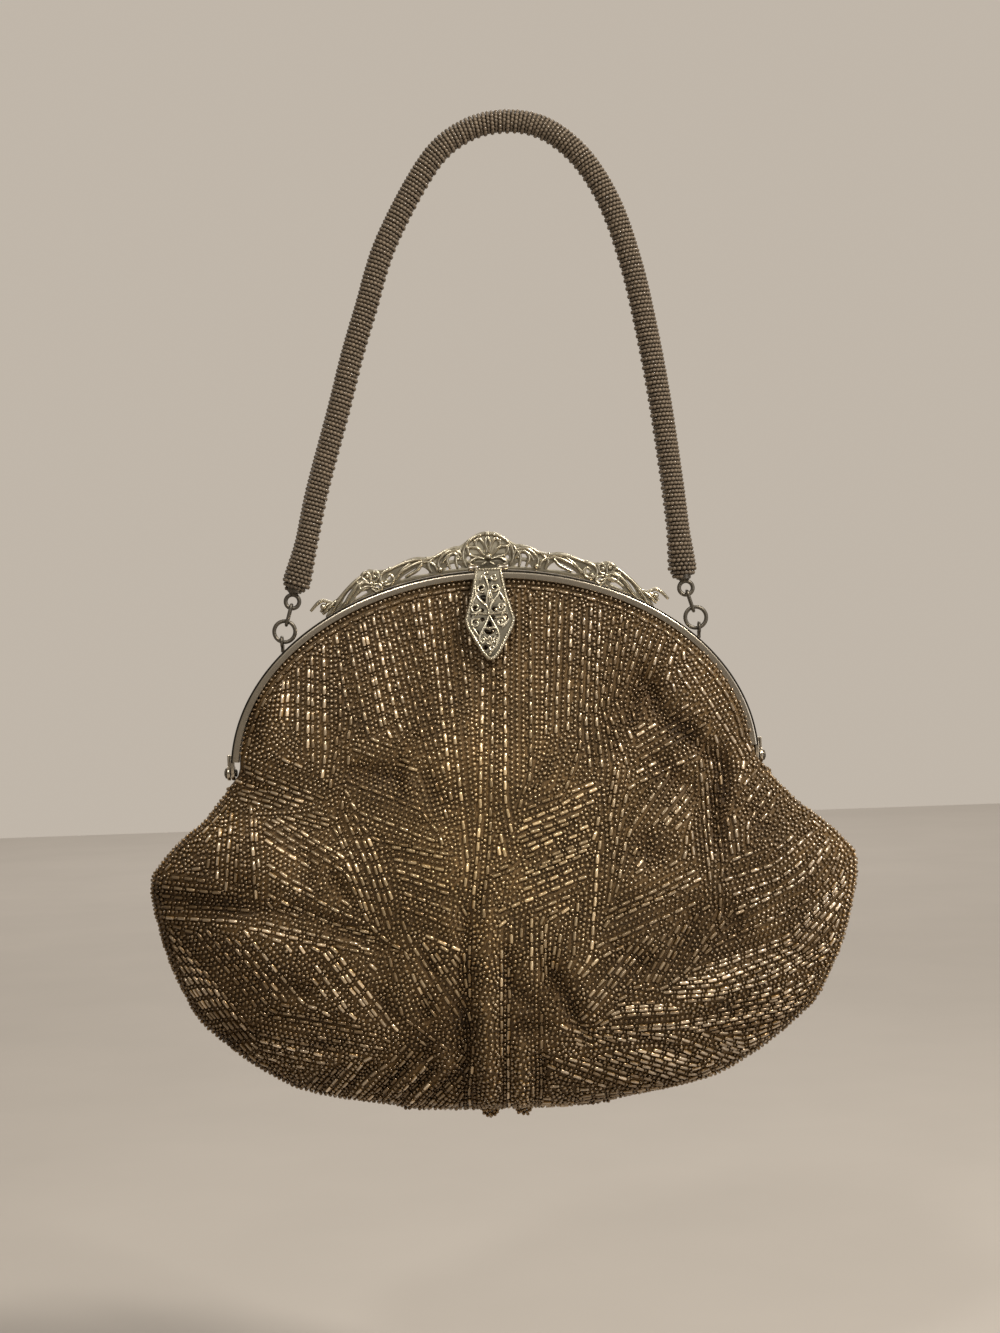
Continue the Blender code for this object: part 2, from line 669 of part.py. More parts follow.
def make_clasp_plate():
    """Openwork kite on the front of the strap."""
    right = [(x * PLATE_HALF_WIDTH, -down * PLATE_LENGTH) for x, down in PLATE_OUTLINE_SHARES]
    left = [(-x, height) for x, height in right[-2::-1]]
    outlines = [right + left]
    for x, down, half_width, half_height in PLATE_HOLE_SHARES:
        outlines.append(oval(
            x * PLATE_HALF_WIDTH, -down * PLATE_LENGTH,
            half_width * PLATE_HALF_WIDTH, half_height * PLATE_LENGTH,
        ))
    outwards = Vector((0, -math.cos(PLATE_TILT), math.sin(PLATE_TILT)))
    top = clasp_corner() + outwards * (CLEARANCE + PLATE_THICKNESS / 2)
    made = plate("clasp_plate", outlines, PLATE_THICKNESS, top=top, tilt=PLATE_TILT)
    return finish(made, "nickel")


def crest_point(across, over):
    """A point of the crest, by its share of the half span and of the height over the arch."""
    x = across * CREST_HALF_SPAN
    return (x, arch_height(x, BACK_PROUD) + CLEARANCE + over * CREST_HEIGHT)


def make_crest():
    """Openwork ornament that stands on the back channel."""
    upper = [crest_point(-across, over) for across, over in CREST_EDGE_SHARES[:0:-1]]
    upper += [crest_point(across, over) for across, over in CREST_EDGE_SHARES]
    steps = 2 * len(CREST_EDGE_SHARES)
    lower = [crest_point(1 - 2 * step / steps, 0) for step in range(steps + 1)]
    outlines = [upper + lower]
    for side in (-1, 1):
        for across, over, half_width, half_height in CREST_HOLE_SHARES:
            x, height = crest_point(side * across, over)
            outlines.append(oval(x, height, half_width * CREST_HALF_SPAN, half_height * CREST_HEIGHT))
    made = plate("crest", outlines, CREST_THICKNESS, middle_y=CREST_SETBACK + CREST_THICKNESS / 2)
    return finish(made, "nickel")


def sack(name, inset, rim):
    """A closed sack whose sections follow the pouch, drawn in by an inset, up to a flat rim."""
    rows = [
        (height * POUCH_HEIGHT, width * POUCH_HALF_WIDTH, depth * POUCH_HALF_DEPTH)
        for height, width, depth in POUCH_SECTION_SHARES
    ]
    shape = bmesh.new()
    bmesh.ops.create_uvsphere(shape, u_segments=POUCH_SIDES, v_segments=len(rows) + 1, radius=1)
    for vert in shape.verts:
        row = len(rows) - round(math.acos(max(-1, min(1, vert.co.z))) / math.pi * (len(rows) + 1))
        turn = math.atan2(vert.co.y, vert.co.x)
        if row < 0:
            vert.co = (0, 0, inset)
        elif row == len(rows):
            vert.co = (0, 0, rim)
        else:
            height, width, depth = rows[row]
            lift = inset * max(0, 1 - 2 * height / POUCH_HEIGHT)
            height = rim if row == len(rows) - 1 else height + lift
            x = (width - inset) * math.cos(turn)
            across = abs(math.sin(turn)) ** SECTION_POWER
            y = math.copysign((depth - inset) * across, math.sin(turn))
            vert.co = (x * (1 + LEAN_SHARE * x / POUCH_HALF_WIDTH), y, height)
    mesh = bpy.data.meshes.new(name)
    bmesh.ops.remove_doubles(shape, verts=shape.verts, dist=WELD_DISTANCE)
    shape.to_mesh(mesh)
    shape.free()
    mesh.shade_smooth()
    made = bpy.data.objects.new(name, mesh)
    made.location = bag_point(0, 0, 0)
    return made


def make_pouch_body():
    made = sack("pouch_body", 0, POUCH_HEIGHT)
    return finish(cut(made, sack("pouch_hollow", POUCH_WALL, POUCH_HEIGHT + OVERRUN)), "beads")


def make_lining_body():
    outer = POUCH_WALL + CLEARANCE
    made = sack("lining_body", outer, POUCH_HEIGHT)
    hollow = sack("lining_hollow", outer + LINING_THICKNESS, POUCH_HEIGHT + OVERRUN)
    return finish(cut(made, hollow), "satin")


def panel_depth(x, height, edge_y):
    """How far the closed bag's fabric stands out from the middle plane, above the hinge line."""
    drawn_in = PANEL_EDGE_Y - edge_y + CLEARANCE
    half_width, rise = INNER_HALF_WIDTH - drawn_in, INNER_RISE - drawn_in
    up = max(0, (height - HINGE_HEIGHT) / rise)
    reach = half_width * math.sqrt(max(0, 1 - up * up))
    inside = 1 - (x / reach) ** 2 if reach > abs(x) else 0
    left = max(0, 1 - (height - PANEL_FOOT) / (HINGE_HEIGHT + rise - PANEL_FOOT))
    return edge_y + (POUCH_RIM_DEPTH - PANEL_EDGE_Y) * left ** PANEL_FALL_POWER * inside ** PANEL_POWER


def make_panel(name, side_y, inset, edge_y, thickness, kind):
    """Fabric in one half of the frame: a sheet inside the arch, drawn in by an inset at its edge."""
    half_width = INNER_HALF_WIDTH + CHANNEL_EDGE * 2 - inset
    rise = INNER_RISE + CHANNEL_EDGE * 2 - inset
    foot_half_width = PANEL_FOOT_HALF_WIDTH - inset
    first = (BAND_FOOT - HINGE_HEIGHT) / rise
    bpy.ops.mesh.primitive_grid_add(
        x_subdivisions=PANEL_COLUMNS, y_subdivisions=PANEL_ROWS + 1, size=1, location=bag_point(0, 0, 0)
    )
    made = bpy.context.object
    made.name = name
    corner = math.acos(PANEL_CORNER_SHARE)
    for vert in made.data.vertices:
        column = round((vert.co.x + 0.5) * PANEL_COLUMNS)
        row = round((vert.co.y + 0.5) * (PANEL_ROWS + 1)) - 1
        share = 2 * column / PANEL_COLUMNS - 1
        hem = share
        if 0 < abs(share) < 1:
            hem = math.copysign(abs(share) * (1 - PANEL_HEM_SHARE) / (1 - 2 / PANEL_COLUMNS), share)
        if row < 0:
            x, height = hem * foot_half_width, PANEL_FOOT
        else:
            t = row / PANEL_ROWS
            if 0 < t < 1:
                t = t * (1 - PANEL_HEM_SHARE) / (1 - 1 / PANEL_ROWS)
            side_up = first + (PANEL_CORNER_SHARE - first) * t
            middle_up = first + (1 - first) * t
            bow = (math.cos(hem * corner) - math.cos(corner)) / (1 - math.cos(corner))
            x = half_width * math.sqrt(1 - side_up ** 2) * math.sin(hem * corner) / math.sin(corner)
            height = HINGE_HEIGHT + rise * (side_up + (middle_up - side_up) * bow)
        vert.co = (x, side_y * panel_depth(x, height, edge_y), height)
    wall = made.modifiers.new("thickness", "SOLIDIFY")
    wall.thickness = thickness
    wall.offset = -1 if side_y < 0 else 1
    made.data.shade_smooth()
    return finish(made, kind)


def make_picot(side, word):
    """Little tuft of beads under the hem."""
    middle = Vector((side * PICOT_X, 0, -PICOT_HALF_HEIGHT - CLEARANCE))
    bpy.ops.mesh.primitive_uv_sphere_add(
        segments=HOLE_POINTS, ring_count=RING_SIDES, radius=PICOT_HALF_WIDTH, location=to_world(middle)
    )
    made = bpy.context.object
    made.name = f"picot_{word}"
    made.scale = (1, 1, PICOT_HALF_HEIGHT / PICOT_HALF_WIDTH)
    bpy.ops.object.transform_apply(location=False, rotation=False, scale=True)
    made.data.shade_smooth()
    return finish(made, "beads")


def body_empty(name, pivot, parent):
    """An empty on a body's joint axis, which carries the body's pieces."""
    empty = bpy.data.objects.new(name, None)
    move_to(empty, PARTS)
    empty.parent = parent
    empty.location = to_world(pivot) - (parent.matrix_world.translation if parent else Vector())
    bpy.context.view_layer.update()
    return empty


def carry(empty, pieces):
    for piece in pieces:
        piece.parent = empty
        piece.matrix_parent_inverse = empty.matrix_world.inverted()


def main():
    path = handle_path()
    profile = channel_profile("channel_section")
    sides = ((-1, "left"), (1, "right"))
    hook_seat = Vector((-BAG_AXIS_X, 0, HOOK_SEAT_HEIGHT))
    handle = body_empty("handle", hook_seat, None)
    carry(handle, [make_handle_sleeve(path), make_handle_core(path)])
    carry(handle, [make_handle_end(path, side, word) for side, word in sides])
    rings = {}
    for side, word in sides:
        swing = body_empty(f"link_{word}_pivot", mirrored(LINK_TOP, side), handle)
        carry(swing, [make_link(side, word)])
        rings[word] = body_empty(f"ring_{word}_pivot", mirrored(RING_TOP, side), swing)
        carry(rings[word], [make_ring(side, word)])
    bag = body_empty("bag_pivot", mirrored(EAR_POINT, -1), rings["left"])
    carry(bag, [make_back_frame(profile), make_crest(), make_pouch_body(), make_lining_body()])
    carry(bag, [make_ear(side, word) for side, word in sides])
    carry(bag, [make_rivet(side, word) for side, word in sides])
    carry(bag, [make_picot(side, word) for side, word in sides])
    lining_edge = PANEL_EDGE_Y - PANEL_THICKNESS - CLEARANCE
    lining_inset = 2 * CHANNEL_EDGE + LINING_INSET
    carry(bag, [
        make_panel("back_panel", 1, 0, PANEL_EDGE_Y, PANEL_THICKNESS, "beads"),
        make_panel("lining_back", 1, lining_inset, lining_edge, LINING_THICKNESS, "satin"),
    ])
    front = body_empty("front_frame_pivot", Vector((0, 0, HINGE_HEIGHT)), bag)
    carry(front, [
        make_front_frame(profile),
        make_panel("front_panel", -1, 0, PANEL_EDGE_Y, PANEL_THICKNESS, "beads"),
        make_panel("lining_front", -1, lining_inset, lining_edge, LINING_THICKNESS, "satin"),
        make_clasp_pin(),
    ])
    clasp = body_empty("clasp_pivot", Vector((0, PIVOT_Y, PIVOT_HEIGHT)), front)
    carry(clasp, [make_clasp_lever(), make_clasp_plate()])


main()
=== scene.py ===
"""A beaded frame bag with a rope handle, hung as from a hook: its looks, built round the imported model.

Metres, +Z up. The bag's front faces -Y. Places on the bag are given by x from its middle and by the
height over its hem. Rows of glass beads are laid on the cloth along strokes read from the photograph.
"""

import json
import math
import random

import bpy
import numpy as np
from mathutils import Matrix, Vector


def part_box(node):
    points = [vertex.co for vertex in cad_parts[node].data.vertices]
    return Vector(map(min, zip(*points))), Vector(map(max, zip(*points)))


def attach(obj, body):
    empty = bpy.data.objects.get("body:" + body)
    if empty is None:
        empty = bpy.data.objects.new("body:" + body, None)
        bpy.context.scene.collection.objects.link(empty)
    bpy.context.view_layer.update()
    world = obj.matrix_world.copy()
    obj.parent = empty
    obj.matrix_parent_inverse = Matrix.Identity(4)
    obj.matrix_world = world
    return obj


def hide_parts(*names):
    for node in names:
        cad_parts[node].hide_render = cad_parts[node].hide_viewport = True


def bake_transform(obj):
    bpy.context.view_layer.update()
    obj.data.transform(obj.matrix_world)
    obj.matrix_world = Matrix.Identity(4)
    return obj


bl_info = {
    "name": "Beaded frame bag",
    "version": (1, 0, 0),
    "blender": (4, 5, 0),
    "location": "View3D > Sidebar > Beaded bag",
    "description": "Builds the cloth, beads and metalwork of a beaded frame bag round its packed model",
    "category": "Add Mesh",
}

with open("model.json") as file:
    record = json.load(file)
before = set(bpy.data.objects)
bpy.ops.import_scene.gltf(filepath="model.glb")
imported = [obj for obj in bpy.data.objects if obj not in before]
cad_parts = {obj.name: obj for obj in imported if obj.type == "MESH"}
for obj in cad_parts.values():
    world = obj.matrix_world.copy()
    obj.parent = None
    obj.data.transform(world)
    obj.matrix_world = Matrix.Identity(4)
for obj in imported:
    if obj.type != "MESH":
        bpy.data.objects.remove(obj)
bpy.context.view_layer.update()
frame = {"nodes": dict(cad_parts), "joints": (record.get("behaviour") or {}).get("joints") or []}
PIVOTS = {joint["name"]: Vector(joint["pos_m"]) for joint in frame["joints"]}
MM = 0.001
ALONG_X = (0, math.pi / 2, 0)
SIDES = ((-1, "left"), (1, "right"))

# The bag's places and sizes, from the frame
AXIS_X = PIVOTS["frame_open"].x
HEM_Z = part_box("pouch_body")[0].z
HINGE = PIVOTS["frame_open"].z - HEM_Z
POUCH_HALF_WIDTH = (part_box("pouch_body")[1].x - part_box("pouch_body")[0].x) / 2
POUCH_HALF_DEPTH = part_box("pouch_body")[1].y
POUCH_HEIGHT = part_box("pouch_body")[1].z - HEM_Z
FRAME_HALF_WIDTH = (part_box("front_frame")[1].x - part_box("front_frame")[0].x) / 2
KNUCKLE_LIFT = 0.9 * MM
FRAME_RISE = PIVOTS["clasp_lift"].z - KNUCKLE_LIFT - HEM_Z - HINGE
FRAME_TOP = HINGE + FRAME_RISE

# The frame's section and hinges
BAND_WIDTH = 2.4 * MM
BAND_DEPTH = 3.0 * MM
BAND_MIDDLE_Y = 1.7 * MM
BAND_CROWN = 1.05 * MM
BACK_PROUD = 0.3 * MM
# Painted shade line, a thin near-black wire along the front band's outer edge: its radius, and below, its
# inset
SHADE_LINE_RADIUS = 0.3 * MM
GROOVE_WIDTH = 1.4 * MM
GROOVE_DEPTH = 1.3 * MM
BAND_FOOT_LIFT = 3.2 * MM
BAND_STEPS = 180
TAB_THICKNESS = 1.0 * MM
TAB_RADIUS = 2.2 * MM
SIDE_GAP = 0.3 * MM
RIVET_HEAD_RADIUS = 1.6 * MM
RIVET_RADIUS = 0.8 * MM
KNUCKLE_RADIUS = 1.0 * MM
KNUCKLE_INNER_X = 3.0 * MM
KNUCKLE_OUTER_X = 6.0 * MM
NOTCH_DEPTH = 1.5 * MM
NOTCH_REACH = 2.4 * MM
CORNER_EASE = 0.12 * MM
CROWN_STEPS = 6
SHADE_LINE_INSET = 0.31 * MM
HALVES_GAP = 0.2 * MM
FACE_INSET = 0.5 * MM
HINGE_BEVEL = 0.2 * MM
KNUCKLE_BEVEL = 0.25 * MM
KNUCKLE_FOOT_DEPTH = 0.8 * MM
TAB_NECK_RISE = 1.0 * MM
LUG_NECK_RISE = 2.2 * MM
SHOULDER_WIDTH = 1.4 * MM
RIVET_DOME = 0.55 * MM
RIVET_INNER_RADIUS = 1.2 * MM
RIVET_INNER_DOME = 0.4 * MM
EAR_RADIUS = 1.45 * MM
EAR_WIRE_RADIUS = 0.46 * MM
EAR_FOOT_HALF_WIDTH = 0.45 * MM
EAR_FOOT_Y = 0.25 * MM
EAR_FOOT_DROP = 0.9 * MM

# Cloth: sections of the pouch, as shares of its height, half width and half depth
SECTION_SHARES = (
    (0.0, 0.10, 0.08), (0.008, 0.244, 0.16), (0.028, 0.333, 0.32), (0.057, 0.488, 0.455),
    (0.085, 0.592, 0.545), (0.117, 0.653, 0.636), (0.163, 0.723, 0.727), (0.235, 0.808, 0.84),
    (0.296, 0.869, 0.91), (0.382, 0.916, 0.955), (0.514, 0.965, 1.0), (0.622, 0.990, 1.0),
    (0.694, 1.0, 0.975), (0.745, 0.995, 0.945), (0.796, 0.958, 0.91), (0.852, 0.906, 0.873),
    (0.903, 0.845, 0.845), (0.949, 0.807, 0.818), (1.0, 0.765, 0.786),
)
LEAN_SHARE = 0.015
FOLD_END_SHARE = 0.35
RIPPLE_HEIGHT = 0.35 * MM
# Painted shade of the folds: the fold height that counts as one, and the limits of fold height over it
HOLLOW_DEPTH = 1.5 * MM
HOLLOW_LIMITS = (-1.4, 0.8)
HEM_EASE = 8 * MM
BULGE_TOP_GAP = 3 * MM
BULGE_EASE = 14 * MM
BULGE_POWER = 0.6
SECTION_POWER = 0.625
FALL_POWER = 0.95
NECK_LIFT = 2.8 * MM
NECK_INSET = 1.8 * MM
NECK_SPREAD = 1.5 * MM
NECK_OPENING = 6 * MM
HEM_LOW = 0.4 * MM
HEM_CLOSING = 3.5 * MM
CLOTH_THICKNESS = 0.45 * MM
BEAD_ALLOWANCE = 0.9 * MM
SEAM_ALLOWANCE = 0.7 * MM
LINING_DROP = 1.7 * MM
LINING_INSET = 0.9 * MM
LINING_GAP = 0.9 * MM
GATHER_DEPTH = 0.45 * MM
GATHER_COUNT = 46
GATHER_HEIGHT = 30 * MM
GATHER_START = 50 * MM
GATHER_EASE = 60 * MM
CLOTH_COLUMNS = 190
CLOTH_ROWS = 120
LINING_COLUMNS = 170
LINING_ROWS = 90
LINING_FOLD_SHARE = 0.35

# How the photograph lies over the bag: the pixel of the hem's middle, its roll and its scale
PHOTO_HEM_PIXEL = (507, 1107)
PHOTO_ROLL = math.radians(2)
METRES_PER_PIXEL = 0.3 * MM

# Folds, as strokes in the photograph's pixels, with their half width and height in millimetres
FOLD_STROKE_PIXELS = (
    (490, 905, 488, 1000, 2.2, 1.1), (488, 1000, 492, 1105, 2.2, 1.4), (521, 1035, 521, 1105, 1.9, 1.3),
    (468, 905, 466, 960, 2.4, -1.5), (466, 960, 465, 1100, 2.8, -1.9), (481, 882, 478, 905, 1.6, -1.0),
    (507, 945, 509, 990, 2.2, -1.4), (505, 1000, 506, 1100, 1.6, -1.2), (541, 1050, 541, 1100, 2.0, -1.5),
    (444, 1040, 452, 1062, 2.0, 0.9), (545, 950, 552, 990, 2.4, -1.5), (556, 965, 575, 1012, 2.4, -1.4),
    (520, 985, 540, 1000, 2.2, -1.0), (520, 1017, 552, 1017, 2.6, -1.2), (572, 1000, 586, 1036, 2.2, -1.0),
    (426, 990, 430, 1010, 2.8, -1.5), (432, 952, 440, 966, 2.8, -1.2), (384, 985, 394, 1012, 2.4, -1.0),
    (428, 1036, 424, 1052, 2.0, -1.0), (648, 682, 656, 702, 2.6, -2.2), (656, 708, 698, 734, 2.8, -1.9),
    (664, 724, 690, 742, 2.2, -1.4), (692, 738, 722, 768, 2.6, -1.6), (718, 752, 722, 800, 3.0, -2.0),
    (712, 792, 714, 838, 3.0, -2.2), (656, 758, 692, 792, 3.0, -1.4), (640, 668, 630, 722, 1.8, -1.2),
    (640, 835, 656, 862, 4.0, -1.4), (745, 798, 766, 832, 3.4, -1.1), (622, 945, 650, 962, 3.6, -1.4),
    (692, 908, 670, 956, 2.2, -1.1), (716, 900, 738, 922, 2.8, -1.1), (788, 945, 812, 958, 3.2, -1.2),
    (700, 1008, 772, 1000, 2.6, -1.0), (700, 1026, 760, 1024, 2.0, -0.8), (640, 1030, 700, 1056, 1.8, -0.8),
    (700, 640, 735, 700, 4.5, 1.3), (690, 985, 745, 955, 5.0, 1.4), (790, 842, 846, 856, 3.6, 1.1),
    (676, 805, 684, 838, 3.4, 1.1), (755, 920, 770, 900, 3.6, 1.0), (612, 765, 625, 790, 3.2, 0.9),
    (604, 872, 700, 880, 4.0, 0.7), (250, 690, 260, 748, 2.6, -1.6), (240, 772, 276, 800, 2.4, -1.5),
    (150, 893, 266, 902, 3.6, -2.0), (214, 864, 262, 886, 2.2, -1.2), (310, 850, 318, 890, 2.0, -1.0),
    (334, 868, 352, 892, 2.0, -1.2), (266, 902, 305, 906, 2.0, -1.0), (302, 902, 402, 944, 2.0, -1.1),
    (165, 930, 262, 985, 7.0, -1.1), (198, 1008, 242, 1022, 2.4, -1.2), (212, 1046, 266, 1026, 2.8, -1.8),
    (290, 980, 320, 986, 2.8, -1.2), (268, 1010, 352, 1014, 2.6, -1.2), (310, 1040, 352, 1036, 2.2, -1.0),
    (352, 768, 404, 772, 3.2, -1.2), (404, 758, 400, 800, 2.0, -1.0), (428, 772, 440, 800, 2.6, -1.0),
    (365, 650, 380, 690, 2.4, -0.8), (285, 700, 282, 735, 5.0, 1.1), (215, 832, 262, 828, 5.0, 1.2),
    (232, 925, 300, 940, 3.6, 0.8), (285, 850, 295, 880, 3.5, 0.9), (350, 940, 370, 975, 4.0, 0.8),
    (440, 850, 470, 882, 5.0, 0.8), (470, 740, 500, 800, 8.0, 0.9), (452, 905, 462, 950, 2.6, 1.0),
    (345, 1086, 376, 1058, 1.6, -1.7), (376, 1090, 410, 1056, 1.6, -1.7), (402, 1093, 436, 1060, 1.6, -1.7),
    (428, 1095, 456, 1066, 1.6, -1.7), (322, 1082, 350, 1060, 1.6, -1.4), (390, 1090, 424, 1057, 1.5, 1.0),
    (362, 1088, 394, 1056, 1.5, 1.0), (416, 1094, 446, 1063, 1.5, 1.0),
)

# Directions of the bead rows, as strokes in the photograph's pixels
ROW_STROKE_PIXELS = (
    (500, 590, 500, 660), (493, 700, 491, 800), (480, 820, 474, 890), (440, 600, 452, 700),
    (458, 740, 470, 850), (395, 620, 420, 720), (425, 740, 452, 830), (350, 640, 368, 720),
    (325, 650, 328, 740), (300, 670, 300, 725), (270, 700, 266, 735), (345, 735, 336, 800),
    (357, 748, 412, 766), (354, 780, 408, 800), (372, 812, 425, 832), (416, 728, 440, 800),
    (245, 765, 325, 795), (240, 790, 325, 812), (235, 815, 232, 870), (255, 815, 262, 895),
    (270, 822, 330, 855), (268, 850, 322, 882), (268, 880, 318, 903), (350, 815, 375, 870),
    (375, 860, 398, 925), (394, 842, 445, 852), (400, 870, 448, 885), (407, 900, 455, 918),
    (270, 917, 390, 942), (165, 885, 215, 888), (150, 916, 262, 918), (170, 862, 225, 800),
    (180, 935, 215, 975), (215, 930, 265, 990), (255, 930, 295, 980), (200, 985, 235, 1030),
    (305, 945, 345, 1000), (345, 948, 388, 1005), (280, 1028, 370, 1045), (290, 1012, 360, 1022),
    (330, 1095, 365, 1052), (380, 1095, 420, 1048), (420, 1100, 455, 1060), (395, 955, 410, 1005),
    (410, 1010, 440, 1032), (430, 960, 455, 1000), (488, 900, 488, 1100), (521, 920, 521, 1100),
    (530, 600, 530, 700), (560, 600, 556, 700), (590, 615, 585, 715), (620, 620, 608, 695),
    (650, 640, 632, 690), (610, 710, 626, 757), (595, 720, 600, 765), (634, 759, 698, 725),
    (640, 743, 690, 714), (642, 777, 695, 754), (700, 690, 728, 735), (700, 748, 702, 819),
    (716, 762, 722, 830), (640, 806, 664, 772), (656, 832, 686, 796), (610, 778, 597, 850),
    (595, 852, 590, 925), (537, 800, 585, 782), (520, 832, 588, 806), (508, 870, 588, 840),
    (502, 902, 578, 872), (505, 700, 505, 790), (503, 800, 514, 850), (606, 932, 700, 892),
    (612, 906, 688, 872), (700, 830, 706, 890), (687, 906, 652, 965), (640, 932, 604, 975),
    (729, 872, 760, 863), (775, 858, 805, 836), (815, 850, 838, 822), (845, 862, 855, 836),
    (750, 920, 786, 904), (730, 966, 780, 950), (800, 932, 835, 896), (832, 950, 850, 906),
    (640, 993, 710, 990), (712, 990, 762, 980), (762, 980, 830, 945), (690, 1012, 760, 1000),
    (562, 1052, 620, 1076), (622, 1056, 680, 1076), (690, 1036, 740, 1058), (560, 1096, 650, 1089),
    (700, 1076, 780, 1042), (795, 802, 850, 846), (742, 802, 760, 780), (570, 760, 560, 790),
)

# Lines of small beads that divide the groups of rows, in the photograph's pixels
VEIN_STROKE_PIXELS = (
    (346, 736, 338, 800), (338, 800, 262, 812), (262, 812, 268, 905), (150, 912, 266, 915),
    (266, 908, 392, 945), (416, 730, 392, 762), (450, 860, 470, 905), (388, 842, 402, 925),
    (600, 780, 596, 925), (612, 712, 630, 762), (700, 745, 708, 892), (706, 892, 610, 934),
    (588, 806, 510, 872), (612, 980, 700, 1004), (700, 1004, 830, 962), (560, 1046, 690, 1040),
    (300, 940, 345, 1008), (345, 1008, 430, 1040),
)

# Places where small beads lie at random: middle and radius in the photograph's pixels
CLUSTER_PIXELS = (
    (650, 702, 21), (563, 744, 13), (654, 841, 19), (560, 986, 24), (790, 812, 20), (336, 879, 16),
    (305, 960, 13), (281, 737, 19), (288, 1076, 20), (190, 850, 18), (505, 885, 14), (392, 985, 14),
    (730, 800, 12), (222, 1040, 15), (488, 925, 12), (486, 950, 13), (485, 975, 13), (485, 1000, 13),
    (486, 1025, 13), (488, 1050, 13), (490, 1075, 13), (491, 1097, 13), (517, 945, 12), (520, 970, 12),
    (523, 995, 12), (524, 1020, 12), (523, 1045, 12), (522, 1070, 12), (522, 1096, 12), (556, 1030, 14),
    (452, 1020, 14), (446, 1060, 12), (566, 1090, 12), (760, 835, 16),
)

# Painted light and shade, where the beads and the satin are lighter or darker: pixel of the photograph, reach
# in millimetres and change of tone
PAINTED_LIGHT_PLACES = (
    (480, 780, 34, 0.15), (320, 690, 26, -0.06), (250, 1020, 38, -0.22), (505, 1030, 24, -0.18),
    (640, 720, 15, -0.15), (690, 900, 20, -0.15), (440, 1080, 25, -0.15), (190, 900, 20, -0.12),
    (800, 880, 25, 0.06), (720, 970, 22, -0.12), (700, 1060, 20, -0.1),
)

# Bead rows: steps, spacing, ends and margins
ROW_STEP = 0.5 * MM
FIELD_STEP = 0.5 * MM
STROKE_SOFTNESS = 1.5 * MM
SHARP_TURN = math.cos(math.radians(28))
SHORTEST_ROW = 3.2 * MM
LONGEST_ROW = 130 * MM
CLOSEST_SHARE = 0.66
START_SHARE = 0.88
ROW_GAP_SHARE = 1.02
WIDE_HEIGHT = 110 * MM
WIDE_REACH = 48 * MM
SIDE_MARGIN = 0.9 * MM
ARCH_MARGIN = 0.6 * MM
ARCH_MARGIN_EASE = 5 * MM
ARCH_TOP_MARGIN = 1.5 * MM
ARCH_ROWS = 2
ARCH_ROW_LIGHT = 0.55
ARCH_ROW_TURNS = (math.radians(5), math.radians(175))
ARCH_ROW_INSETS = ((1.5 * MM, "seeds"), (3.1 * MM, "bugles"))
SIDE_ROW_INSETS = (1.0 * MM, 2.5 * MM)
SIDE_TOP = HINGE - 4 * MM
SIDE_ROW_END = 3.0 * MM
EDGE_ROW_STEPS = 700

# Seeds that fill what the rows leave open, with more tries near the hem
SEED_ROOM = 0.9
SMALL_ROOM = 0.8
HEM_TRIES = 9
HEM_ROWS = 10

# Seam
SEAM_END = 0.4 * MM
SEAM_STEPS = 900
SEAM_LENGTH_SHARE = 0.86
SEAM_PITCH_SHARE = 0.98

# Gaps, sizes and set of the beads. Pairs are the least and the largest share
BEAD_GAP = 0.16 * MM
GAP_SHARES = (0.8, 1.7)
BUGLE_WIDTHS = (0.92, 1.06)
BUGLE_LENGTHS = (0.95, 1.02)
SEED_WIDTHS = (0.9, 1.06)
SMALL_SHARE = 0.8
SEED_LENGTH_SHARE = 0.88
FLOAT_SHARE = 0.66
UNEVENNESS = 0.06 * MM
AIM_UNEVENNESS = 0.045
LARGEST_ROLL = 0.35

# Light and tone of the beads. Pairs are the two shapes of a beta distribution
ROW_LIGHTS = (0.45, 0.8, 1.0, 1.25, 1.5)
BUGLE_LIGHT = 1.1
SEED_LIGHT = 0.8
BUGLE_TONES = (2.6, 3.8)
SEED_TONES = (2.6, 3.0)
SEAM_TONES = (1.3, 2.2)
TUFT_TONES = (2.4, 1.3)
ROPE_TONES = (2.0, 3.0)
# A few bugles get a painted glint: its tone, and the share of bugles that get it
PAINTED_GLINT_TONE = 1.6
PAINTED_GLINT_SHARE = 0.02
SMALL_TONE = 0.3
CLOUD_TONE = 0.07
CLOUD_SHARE = 0.1
ROW_SHARE = 0.3
# Painted shade of the folds: how much darker their hollows and lighter their ridges are, and the warmer tint
# of the hollows' painted shade
HOLLOW_SHADE_SHARE = 0.38
WARM_PAINTED_SHADE = (1.0, 0.86, 0.62)
GOLD_X = -6 * MM
GOLD_HEIGHT = 78 * MM
GOLD_REACH = 62 * MM
# Painted highlight along a bead's crown, where the bright lining shows: where it starts, and where it is full
HIGHLIGHT_EDGE = 0.45
HIGHLIGHT_FULL = 0.92

